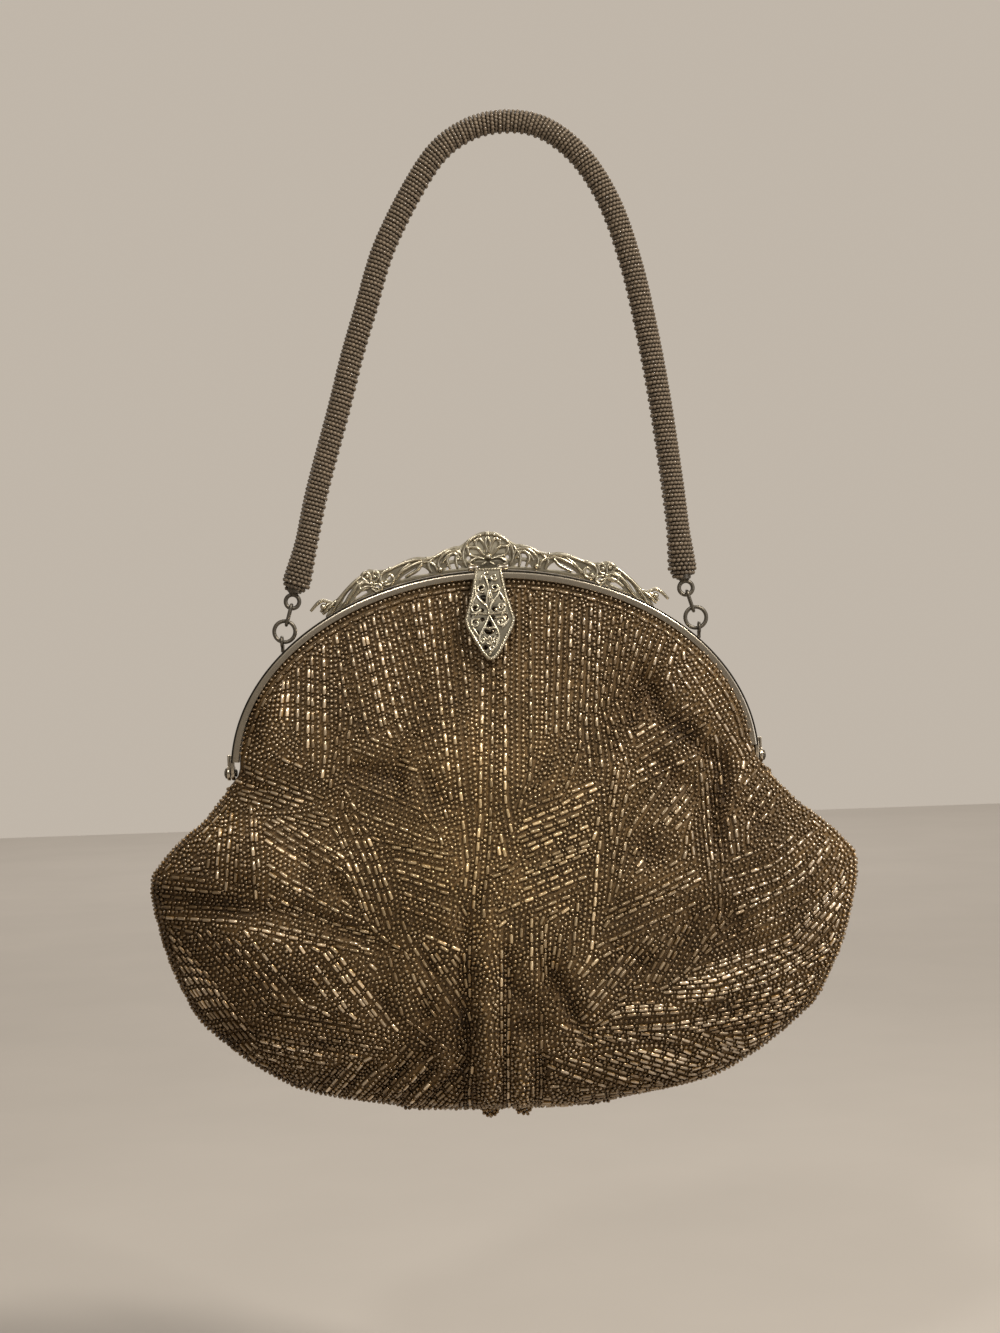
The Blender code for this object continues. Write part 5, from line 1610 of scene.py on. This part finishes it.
class BAG_OT_handle(bpy.types.Operator):
    """Wind the seeds round the handle's tube"""

    bl_idname = "bag.handle"
    bl_label = "Handle"

    def execute(self, context):
        sizes = context.scene.bag_sizes
        rng = random.Random(sizes.seed + 2)
        route, lengths = handle_route()
        swell = handle_swell(lengths)
        near = from_end(lengths, lengths[-1])
        radii = HANDLE_TUBE_RADIUS + swell - TUBE_CLOSING * eased(1 - near / HANDLE_CLOSING_LENGTH)
        run = ([Vector(point) for point in route], list(radii / HANDLE_TUBE_RADIUS), False)
        tube = wires("handle_tube", [run], HANDLE_TUBE_RADIUS, 5)
        dress(tube, "rope_satin", "handle")
        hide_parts("handle_sleeve")
        seed = sizes.seed_width
        turns = (lengths[-1] - seed) / HANDLE_TURN_PITCH
        count = int(turns * HANDLE_BEADS_A_TURN)
        at = seed / 2 + (lengths[-1] - seed) * np.arange(count) / count
        angle = 2 * math.pi * np.arange(count) / HANDLE_BEADS_A_TURN
        middle = at_lengths(at, lengths, route)
        ahead = unit(headings(at, lengths, route))
        side = np.cross(ahead, np.array([0, 1, 0]))
        out = side * np.cos(angle)[:, None] + np.array([0, 1, 0]) * np.sin(angle)[:, None]
        near = from_end(at, lengths[-1])
        closing = HANDLE_CLOSING * eased(1 - near / HANDLE_CLOSING_LENGTH)
        ribs = HANDLE_RIB_DEPTH * (np.cos(math.pi * at / HANDLE_TURN_PITCH) - 0.6)
        radius = HANDLE_RADIUS - seed / 2 + np.interp(at, lengths, swell) - closing + ribs
        places = middle + out * radius[:, None]
        round_way = np.cross(ahead, out)
        axes = np.stack([round_way, ahead, np.cross(round_way, ahead)], axis=1)
        length = 2 * math.pi * HANDLE_RADIUS / HANDLE_BEADS_A_TURN * 1.04
        shapes = [
            (length * rng.uniform(0.94, 1.06), seed * rng.uniform(0.96, 1.06),
             seed * rng.uniform(0.86, 0.96))
            for _ in range(count)]
        # Painted light and shade on the ribs: the raised turns lighter, the sunken ones darker, over a random
        # tone
        tones = [
            0.6 * rng.betavariate(*ROPE_TONES) + 0.2 + 0.2 * math.cos(math.pi * here / HANDLE_TURN_PITCH)
            for here in at]
        beads = stamp("handle_seeds", "seed", places, axes, shapes, tones)
        dress(beads, "rope_glass", "handle")
        return {"FINISHED"}


class BAG_OT_chain(bpy.types.Operator):
    """Make the eyes, links and rings between the handle and the frame"""

    bl_idname = "bag.chain"
    bl_label = "Rings and links"

    def execute(self, context):
        ear, ring_top, link_top = (
            PIVOTS[name] for name in ("bag_swing", "ring_left_swing", "link_left_swing"))
        up = (link_top - ring_top).normalized()
        route, _ = handle_route()
        for side, word in SIDES:
            lean = Vector((-up.x, 0, up.z)) if side > 0 else up
            tilt = math.atan2(lean.x, lean.z)
            stand = (math.pi / 2, tilt, 0)
            ring = torus(f"split_ring_{word}", other_side(ear, side) + RING_RADIUS * lean, RING_RADIUS,
                         RING_WIRE_RADIUS, stand)
            dress(ring, "dark_wire", f"ring_{word}")
            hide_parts(f"ring_{word}")
            points = []
            for middle, first in ((link_top, 0), (ring_top, 180)):
                for step in range(LINK_STEPS + 1):
                    turn = math.radians(first + 180 / LINK_STEPS * step)
                    across = Vector((0, LINK_END_RADIUS * math.cos(turn), 0))
                    point = other_side(middle, side) + across + LINK_END_RADIUS * math.sin(turn) * lean
                    points.append(point)
            link = wires(f"oval_link_{word}", [(points, None, True)], LINK_WIRE_RADIUS, 4)
            dress(link, "dark_wire", f"link_{word}")
            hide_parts(f"link_{word}")
            eye = torus(f"eye_{word}", other_side(link_top, side) + EYE_RADIUS * lean, EYE_RADIUS,
                        EYE_WIRE_RADIUS, stand, 36, 12)
            end, inner = (route[0], route[4]) if side < 0 else (route[-1], route[-5])
            end, inwards = Vector(end), (Vector(inner) - Vector(end)).normalized()
            top = other_side(link_top, side) + 2 * EYE_RADIUS * lean
            shape = [top - inwards * 0.2 * MM, end - inwards * 0.35 * MM, end, end + inwards * 1.0 * MM,
                     end + inwards * 4 * MM]
            cap = wires(f"cap_{word}", [(shape, CAP_SHARES, False)], CAP_RADIUS, 5)
            made = join([eye, cap], f"handle_eye_{word}")
            dress(smooth(made, 50), "dark_wire", "handle")
            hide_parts(f"handle_end_{word}")
        return {"FINISHED"}


# Frame

def arch_route(inset, proud=0.0):
    """Points (x, height) of the arch from foot to foot."""
    width, rise = FRAME_HALF_WIDTH + proud - inset, FRAME_RISE + proud - inset
    start = math.asin(BAND_FOOT_LIFT / rise)
    turns = [start + (math.pi - 2 * start) * step / BAND_STEPS for step in range(BAND_STEPS + 1)]
    return [(width * math.cos(turn), HINGE + rise * math.sin(turn)) for turn in turns]


def band_section():
    """Outline of the band's section from its inner edge outwards, as (out, y): crowned in front."""
    half, groove = BAND_DEPTH / 2, GROOVE_WIDTH / 2
    outline = [(CORNER_EASE, -half), (0, -half + CORNER_EASE), (0, -groove), (GROOVE_DEPTH, -groove)]
    outline += [(GROOVE_DEPTH, groove), (0, groove), (0, half - CORNER_EASE), (CORNER_EASE, half)]
    out = BAND_WIDTH - BAND_CROWN
    for middle, first in ((half - BAND_CROWN, 90), (BAND_CROWN - half, 0)):
        for step in range(CROWN_STEPS + 1):
            turn = math.radians(first - 90 / CROWN_STEPS * step)
            outline.append((out + BAND_CROWN * math.cos(turn), middle + BAND_CROWN * math.sin(turn)))
    return outline


def make_band(name, facing, proud):
    """One channel of the frame, swept round the arch."""
    section = trace([band_section()], True)
    sweep = trace([arch_route(BAND_WIDTH, proud)], False)
    sweep.data.bevel_mode = "OBJECT"
    sweep.data.bevel_object = section
    sweep.data.use_fill_caps = True
    sweep.location = place(0, facing * BAND_MIDDLE_Y, 0)
    sweep.rotation_euler = (math.pi / 2, 0, 0)
    made = as_mesh(sweep)
    bpy.data.objects.remove(section)
    return smooth(settle(made, name), 35)


def notch(made):
    """Cuts the gap at the top of a channel in which the clasp's nose turns."""
    low = place(-KNUCKLE_INNER_X, -2 * BAND_DEPTH, FRAME_TOP - NOTCH_DEPTH)
    high = place(KNUCKLE_INNER_X, PIVOTS["clasp_lift"].y + NOTCH_REACH, FRAME_TOP + 2 * MM)
    gap = box_piece("gap", low, high, 0)
    shape_with(made, "BOOLEAN", object=gap, solver="EXACT")
    bpy.data.objects.remove(gap)
    return smooth(made, 35)


def box_piece(name, low, high, bevel=0.15 * MM):
    low, high = Vector(low), Vector(high)
    bpy.ops.mesh.primitive_cube_add(size=1, location=(low + high) / 2)
    made = bpy.context.object
    made.scale = [abs(value) for value in high - low]
    made = settle(made, name)
    return ease_edges(made, bevel) if bevel else made


def side_box(name, side, xs, ys, heights):
    """A block on one side, between two distances from the middle, two depths and two heights."""
    left, right = sorted(side * x for x in xs)
    return box_piece(name, place(left, ys[0], heights[0]), place(right, ys[1], heights[1]))


class BAG_OT_frame(bpy.types.Operator):
    """Make the two arched channels with their hinges, ears and knuckles, and a painted shade line along the
    front one
    """

    bl_idname = "bag.frame"
    bl_label = "Frame"

    def execute(self, context):
        reach = BAND_MIDDLE_Y + BAND_DEPTH / 2
        foot = HINGE + BAND_FOOT_LIFT
        front = [notch(make_band("front_band", -1, 0))]
        back = [notch(make_band("back_band", 1, BACK_PROUD))]
        inner, outer = FRAME_HALF_WIDTH - TAB_THICKNESS, FRAME_HALF_WIDTH + SIDE_GAP
        front_ys, back_ys = (-reach + FACE_INSET, -HALVES_GAP), (HALVES_GAP, reach - FACE_INSET)
        knuckle_xs, pivot = (KNUCKLE_INNER_X, KNUCKLE_OUTER_X), PIVOTS["clasp_lift"]
        for side in (-1, 1):
            for pieces, name, start in ((front, "tab", inner), (back, "lug", outer)):
                middle = place(side * (start + TAB_THICKNESS / 2), 0, HINGE)
                pieces.append(rod(name, TAB_RADIUS, TAB_THICKNESS, middle, HINGE_BEVEL, 40))
            front.append(side_box(
                "neck", side, (inner, FRAME_HALF_WIDTH), front_ys, (HINGE, foot + TAB_NECK_RISE)))
            back.append(side_box(
                "lug_neck", side, (outer, outer + TAB_THICKNESS), back_ys, (HINGE, foot + LUG_NECK_RISE)))
            back.append(side_box(
                "shoulder", side, (outer - SHOULDER_WIDTH, outer + TAB_THICKNESS / 2), back_ys,
                (foot, foot + LUG_NECK_RISE)))
            middle = side * (KNUCKLE_INNER_X + KNUCKLE_OUTER_X) / 2
            front.append(rod("knuckle", KNUCKLE_RADIUS, KNUCKLE_OUTER_X - KNUCKLE_INNER_X,
                             Vector((AXIS_X + middle, pivot.y, pivot.z)), KNUCKLE_BEVEL, 40))
            front.append(side_box(
                "knuckle_foot", side, knuckle_xs, (pivot.y - KNUCKLE_RADIUS / 2, -HALVES_GAP),
                (FRAME_TOP - KNUCKLE_FOOT_DEPTH, FRAME_TOP + KNUCKLE_LIFT)))
        made = join(front, "front_channel")
        dress(made, "nickel_plate", "front_frame")
        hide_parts("front_frame")
        # A painted shade line: a near-black wire along the front band's outer edge, standing in for the dark
        # gap and the edge's dark reflection
        runs = []
        for side in (-1, 1):
            line = [at for at in arch_route(SHADE_LINE_INSET) if side * at[0] > KNUCKLE_INNER_X]
            y = -(reach - SHADE_LINE_INSET)
            runs.append(([place(x, y, height) for x, height in line], None, False))
        edge = wires("front_edge", runs, SHADE_LINE_RADIUS, 3)
        dress(edge, "black_edge", "front_frame")
        made = join(back, "back_channel")
        dress(made, "nickel_plate", "bag")
        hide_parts("back_frame")
        for side, word in SIDES:
            self.make_rivet(side, word)
            self.make_ear(side, word)
        return {"FINISHED"}

    def make_rivet(self, side, word):
        low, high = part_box(f"rivet_{word}")
        middle = (low + high) / 2
        shank = rod("shank", RIVET_RADIUS, high.x - low.x, middle)
        heads = []
        for x, radius, dome in (
            (high.x if side > 0 else low.x, RIVET_HEAD_RADIUS, RIVET_DOME),
            (low.x if side > 0 else high.x, RIVET_INNER_RADIUS, RIVET_INNER_DOME),
        ):
            bpy.ops.mesh.primitive_uv_sphere_add(
                segments=28, ring_count=14, radius=1, location=(x, middle.y, middle.z))
            head = bpy.context.object
            head.scale = (dome, radius, radius)
            head.location.x -= math.copysign(dome, x - middle.x)
            heads.append(smooth(settle(head, "head"), 80))
        made = join([shank, *heads], f"hinge_rivet_{word}")
        dress(made, "dark_wire", "bag")
        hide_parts(f"rivet_{word}")

    def make_ear(self, side, word):
        middle = other_side(PIVOTS["bag_swing"], side)
        low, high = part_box(f"ear_{word}")
        eye = torus("eye", middle, EAR_RADIUS, EAR_WIRE_RADIUS, ALONG_X, 32, 12)
        foot = box_piece(
            "foot", (middle.x - EAR_FOOT_HALF_WIDTH, EAR_FOOT_Y, low.z),
            (middle.x + EAR_FOOT_HALF_WIDTH, high.y, middle.z - EAR_FOOT_DROP))
        made = join([eye, foot], f"ring_ear_{word}")
        dress(made, "dark_wire", "bag")
        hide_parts(f"ear_{word}")


# Ornament

def crest_place(pixel, side, y):
    """Place on the crest of a pixel of the photograph's right half, or its mirror image."""
    x, height = from_photo(*pixel)
    return place(side * x, y, height)


def pearls(name, places, radii, segments=12, rings=8):
    """Small balls as one mesh."""
    bpy.ops.mesh.primitive_uv_sphere_add(segments=segments, ring_count=rings, radius=1)
    points, faces = take_apart(settle(bpy.context.object, name))
    verts, all_faces = [], []
    for point, radius in zip(places, radii):
        base = len(verts)
        verts += [Vector(at) * radius + point for at in points]
        all_faces += [tuple(base + corner for corner in face) for face in faces]
    mesh = bpy.data.meshes.new(name)
    mesh.from_pydata(verts, [], all_faces)
    return smooth(add_object(name, mesh), 80)


def pierced(name, outline, holes, thickness, bevel, middle, tilt):
    """A standing plate with eased edges and holes, from outlines in its own plane."""
    made = trace((outline, *holes), True)
    made.data.fill_mode = "BOTH"
    made.data.extrude = thickness / 2 - bevel
    made.data.bevel_depth = bevel
    made.data.bevel_resolution = 2
    made.data.offset = -bevel
    made = as_mesh(made, 2e-6)
    made.rotation_euler = (math.pi / 2 - tilt, 0, 0)
    made.location = middle
    return smooth(settle(made, name), 50)


def rounded_loop(points, steps=4):
    """A smooth closed loop through a few points of a plane."""
    count, loop = len(points), []
    for index in range(count):
        near = [Vector(points[(index + turn) % count]) for turn in (-1, 0, 1, 2)]
        loop += [tuple(between(*near, step / steps)) for step in range(steps)]
    return loop


def taper(route, thick=1.0, thin=0.6):
    count = len(route) - 1
    swell = [math.sin(math.pi * step / count) ** 0.6 for step in range(count + 1)]
    return [thin + (thick - thin) * share for share in swell]


class BAG_OT_crest(bpy.types.Operator):
    """Pierce the crest's plate, and raise scrolls, petals and pearls on both its faces"""

    bl_idname = "bag.crest"
    bl_label = "Crest"

    def execute(self, context):
        edge = [from_photo(*pixel) for pixel in CREST_EDGE_PIXELS]
        edge[0] = (0.0, edge[0][1])
        top = curved([(x, height, 0) for x, height in edge], 4)
        top = [(point.x, point.y) for point in top]
        reach = top[-1][0]
        foot = []
        for step in range(2 * CREST_FOOT_STEPS + 1):
            x = reach * (1 - step / CREST_FOOT_STEPS)
            foot.append((x, HINGE + (FRAME_RISE + BACK_PROUD) * math.sqrt(
                1 - (x / (FRAME_HALF_WIDTH + BACK_PROUD)) ** 2) + SIDE_GAP / 2))
        outline = top + foot + [(-x, height) for x, height in top[:0:-1]]
        holes = []
        for loop in CREST_HOLE_PIXELS:
            middle = Vector(np.mean(loop, axis=0))
            small = [middle + CREST_HOLE_SHARE * (Vector(pixel) - middle) for pixel in loop]
            right = rounded_loop([from_photo(*pixel) for pixel in small])
            holes += [right, [(-x, height) for x, height in right]]
        middle = place(0, CREST_MIDDLE_Y, 0)
        plate = pierced("crest_plate", outline, holes, 2 * CREST_FACE, CREST_BEVEL, middle, 0)
        runs, places, radii = [], [], []
        for face in (-1, 1):
            y = CREST_MIDDLE_Y + face * (CREST_FACE + SCROLL_LIFT)
            for side in (-1, 1):
                for shape in CREST_SCROLL_PIXELS:
                    route = curved([crest_place(pixel, side, y) for pixel in shape], 5)
                    runs.append((route, taper(route), False))
                for px, py, radius in CREST_PEARL_PIXELS:
                    places.append(crest_place((px, py), side, y))
                    radii.append(radius * MM)
        scrolls = wires("crest_scrolls", runs, SCROLL_RADIUS, 2)
        dress(plate, "dull_silver", "bag")
        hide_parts("crest")
        made = join([scrolls, pearls("crest_pearls", places, radii)], "crest_relief")
        dress(made, "cast_silver", "bag")
        return {"FINISHED"}


def plate_flat(across, down):
    """Place in the clasp plate's own plane, by its share of the half width and length."""
    return across * PLATE_HALF_WIDTH, -down * PLATE_LENGTH


def plate_share(pixel):
    """A pixel of the photograph as shares of the clasp plate's half width and length."""
    down = pixel[1] - PLATE_TOP_PIXEL[1]
    across = pixel[0] - PLATE_TOP_PIXEL[0] - PLATE_LEAN * down
    return across / PLATE_HALF_WIDTH_PIXELS, down / PLATE_LENGTH_PIXELS


def plate_place(across, down, lift):
    """Place on the clasp's plate, by its share of the half width and length, lifted off its middle."""
    outwards = Vector((0, -math.cos(PLATE_TILT), math.sin(PLATE_TILT)))
    downwards = Vector((0, -math.sin(PLATE_TILT), -math.cos(PLATE_TILT)))
    top = place(0, PLATE_TOP_Y, FRAME_TOP) + outwards * PLATE_SEAT
    across = Vector((across * PLATE_HALF_WIDTH, 0, 0))
    return top + across + downwards * down * PLATE_LENGTH + outwards * lift


class BAG_OT_clasp(bpy.types.Operator):
    """Pierce the clasp's plate, and raise its rim, curled wires and grains"""

    bl_idname = "bag.clasp"
    bl_label = "Clasp"

    def execute(self, context):
        half = list(PLATE_OUTLINE_SHARES)
        shares = half + [(-across, down) for across, down in half[-2::-1]]
        flat = [plate_flat(*share) for share in shares]
        holes = []
        for px, py, radius in PLATE_ROUND_PIXELS:
            x, y = plate_flat(*plate_share((px, py)))
            scale = radius / PLATE_HALF_WIDTH_PIXELS * PLATE_HALF_WIDTH
            turns = [step * math.pi / (PLATE_HOLE_SIDES / 2) for step in range(PLATE_HOLE_SIDES)]
            holes.append([(x + scale * math.cos(turn), y + scale * math.sin(turn)) for turn in turns])
        for loop in PLATE_HOLE_PIXELS:
            holes.append(rounded_loop([plate_flat(*plate_share(pixel)) for pixel in loop], 3))
        middle = plate_place(0, 0, 0)
        plate = pierced("clasp_sheet", flat, holes, 2 * PLATE_FACE, PLATE_BEVEL, middle, PLATE_TILT)
        lift = PLATE_FACE + CURL_LIFT
        rim = [plate_place(across, down, RIM_LIFT) for across, down in shares]
        runs, places, radii = [], [], []
        for px, py, radius, first, hand in PLATE_CURL_PIXELS:
            across, down = plate_share((px, py))
            route = []
            for step in range(CURL_STEPS + 1):
                turn = math.radians(first + hand * CURL_DEGREES * step / CURL_STEPS)
                size = radius * (1 - CURL_CLOSING * step / CURL_STEPS)
                route.append(plate_place(
                    across + size * math.cos(turn) / PLATE_HALF_WIDTH_PIXELS,
                    down + size * math.sin(turn) / PLATE_LENGTH_PIXELS, lift))
            thinning = [1.2 - 0.4 * step / CURL_STEPS for step in range(CURL_STEPS + 1)]
            runs.append((route, thinning, False))
        for shape in PLATE_STRUT_PIXELS:
            route = curved([plate_place(*plate_share(pixel), lift) for pixel in shape], 5)
            runs.append((route, taper(route, 1.15, 0.6), False))
        for px, py, radius in PLATE_PEARL_PIXELS:
            places.append(plate_place(*plate_share((px, py)), lift + PEARL_LIFT))
            radii.append(radius * MM)
        for start, stop in zip(rim, rim[1:] + rim[:1]):
            count = max(1, round((stop - start).length / MILGRAIN_PITCH))
            for step in range(count):
                places.append(start.lerp(stop, step / count) + Vector((0, MILGRAIN_Y, 0)))
                radii.append(MILGRAIN_RADIUS)
        curls = wires("clasp_curls", runs, CURL_RADIUS, 2)
        edge = wires("clasp_rim", [(rim, None, True)], RIM_RADIUS, 3)
        dress(plate, "old_silver", "clasp")
        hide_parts("clasp_plate")
        made = join([curls, edge, pearls("clasp_pearls", places, radii, 10, 6)], "clasp_relief")
        dress(made, "cast_silver", "clasp")
        return {"FINISHED"}


# Stage

class BAG_OT_stage(bpy.types.Operator):
    """Set the floor, the surroundings, the lamps and the camera"""

    bl_idname = "bag.stage"
    bl_label = "Stage"

    def execute(self, context):
        scene, colours = context.scene, context.scene.bag_colours
        clear_selection()
        bpy.ops.mesh.primitive_plane_add(size=FLOOR_SIZE, location=(0, 0, FLOOR_Z))
        floor = settle(bpy.context.object, "floor")
        make_floor_finish(colours.floor)
        floor.data.materials.append(bpy.data.materials["pale_floor"])
        world = bpy.data.worlds.new("surroundings")
        world.use_nodes = True
        scene.world = world
        tree = Tree(world.node_tree)
        direction = tree.add("ShaderNodeTexCoord").outputs["Generated"]
        parts = tree.add("ShaderNodeSeparateXYZ", {0: direction})
        share = tree.add("ShaderNodeMapRange", {
            "From Min": DIM_FROM, "From Max": BRIGHT_FROM, "Value": parts.outputs["Y"],
        }, interpolation_type="SMOOTHSTEP").outputs[0]
        light = tree.mix(share, tinted(colours.surroundings, DIM_SHARE), colours.surroundings)
        tree.links.new(light, tree.nodes["Background"].inputs["Color"])
        for name, spot, target, size, power, colour in LAMPS:
            data = bpy.data.lights.new(name, "AREA")
            data.shape = "DISK"
            data.size = size
            data.energy = power
            data.color = colour
            lamp = add_object(name, data)
            lamp.location = spot
            aim = Vector(target) - Vector(spot)
            lamp.rotation_euler = aim.to_track_quat("-Z", "Y").to_euler()
        camera_data = bpy.data.cameras.new("camera")
        camera_data.lens = CAMERA_LENS
        camera = add_object("camera", camera_data)
        camera.matrix_world = (
            Matrix.Translation(CAMERA_PLACE) @ Matrix.Rotation(math.pi / 2, 4, "X")
            @ Matrix.Rotation(-PHOTO_ROLL, 4, "Z")
        )
        scene.camera = camera
        scene.view_settings.view_transform = "Standard"
        return {"FINISHED"}


class BAG_PT_panel(bpy.types.Panel):
    """Lists the steps that build the bag"""

    bl_idname = "BAG_PT_panel"
    bl_label = "Beaded bag"
    bl_space_type = "VIEW_3D"
    bl_region_type = "UI"
    bl_category = "Beaded bag"

    def draw(self, context):
        for group in (context.scene.bag_sizes, context.scene.bag_colours):
            for name in group.__annotations__:
                self.layout.prop(group, name)
        for step in STEPS:
            self.layout.operator(step.bl_idname)


STEPS = (
    BAG_OT_finishes, BAG_OT_cloth, BAG_OT_lining, BAG_OT_beads, BAG_OT_seam, BAG_OT_handle,
    BAG_OT_chain, BAG_OT_frame, BAG_OT_crest, BAG_OT_clasp, BAG_OT_stage,
)
CLASSES = (BagSizes, BagColours, *STEPS, BAG_PT_panel)


def register():
    for each in CLASSES:
        bpy.utils.register_class(each)
    bpy.types.Scene.bag_sizes = bpy.props.PointerProperty(type=BagSizes)
    bpy.types.Scene.bag_colours = bpy.props.PointerProperty(type=BagColours)


def unregister():
    del bpy.types.Scene.bag_sizes
    del bpy.types.Scene.bag_colours
    for each in reversed(CLASSES):
        bpy.utils.unregister_class(each)


def main():
    register()
    for name in ("Cube", "Light", "Camera"):
        if name in bpy.data.objects:
            bpy.data.objects.remove(bpy.data.objects[name])
    for step in STEPS:
        area, name = step.bl_idname.split(".")
        getattr(getattr(bpy.ops, area), name)()


if __name__ == "__main__":
    main()
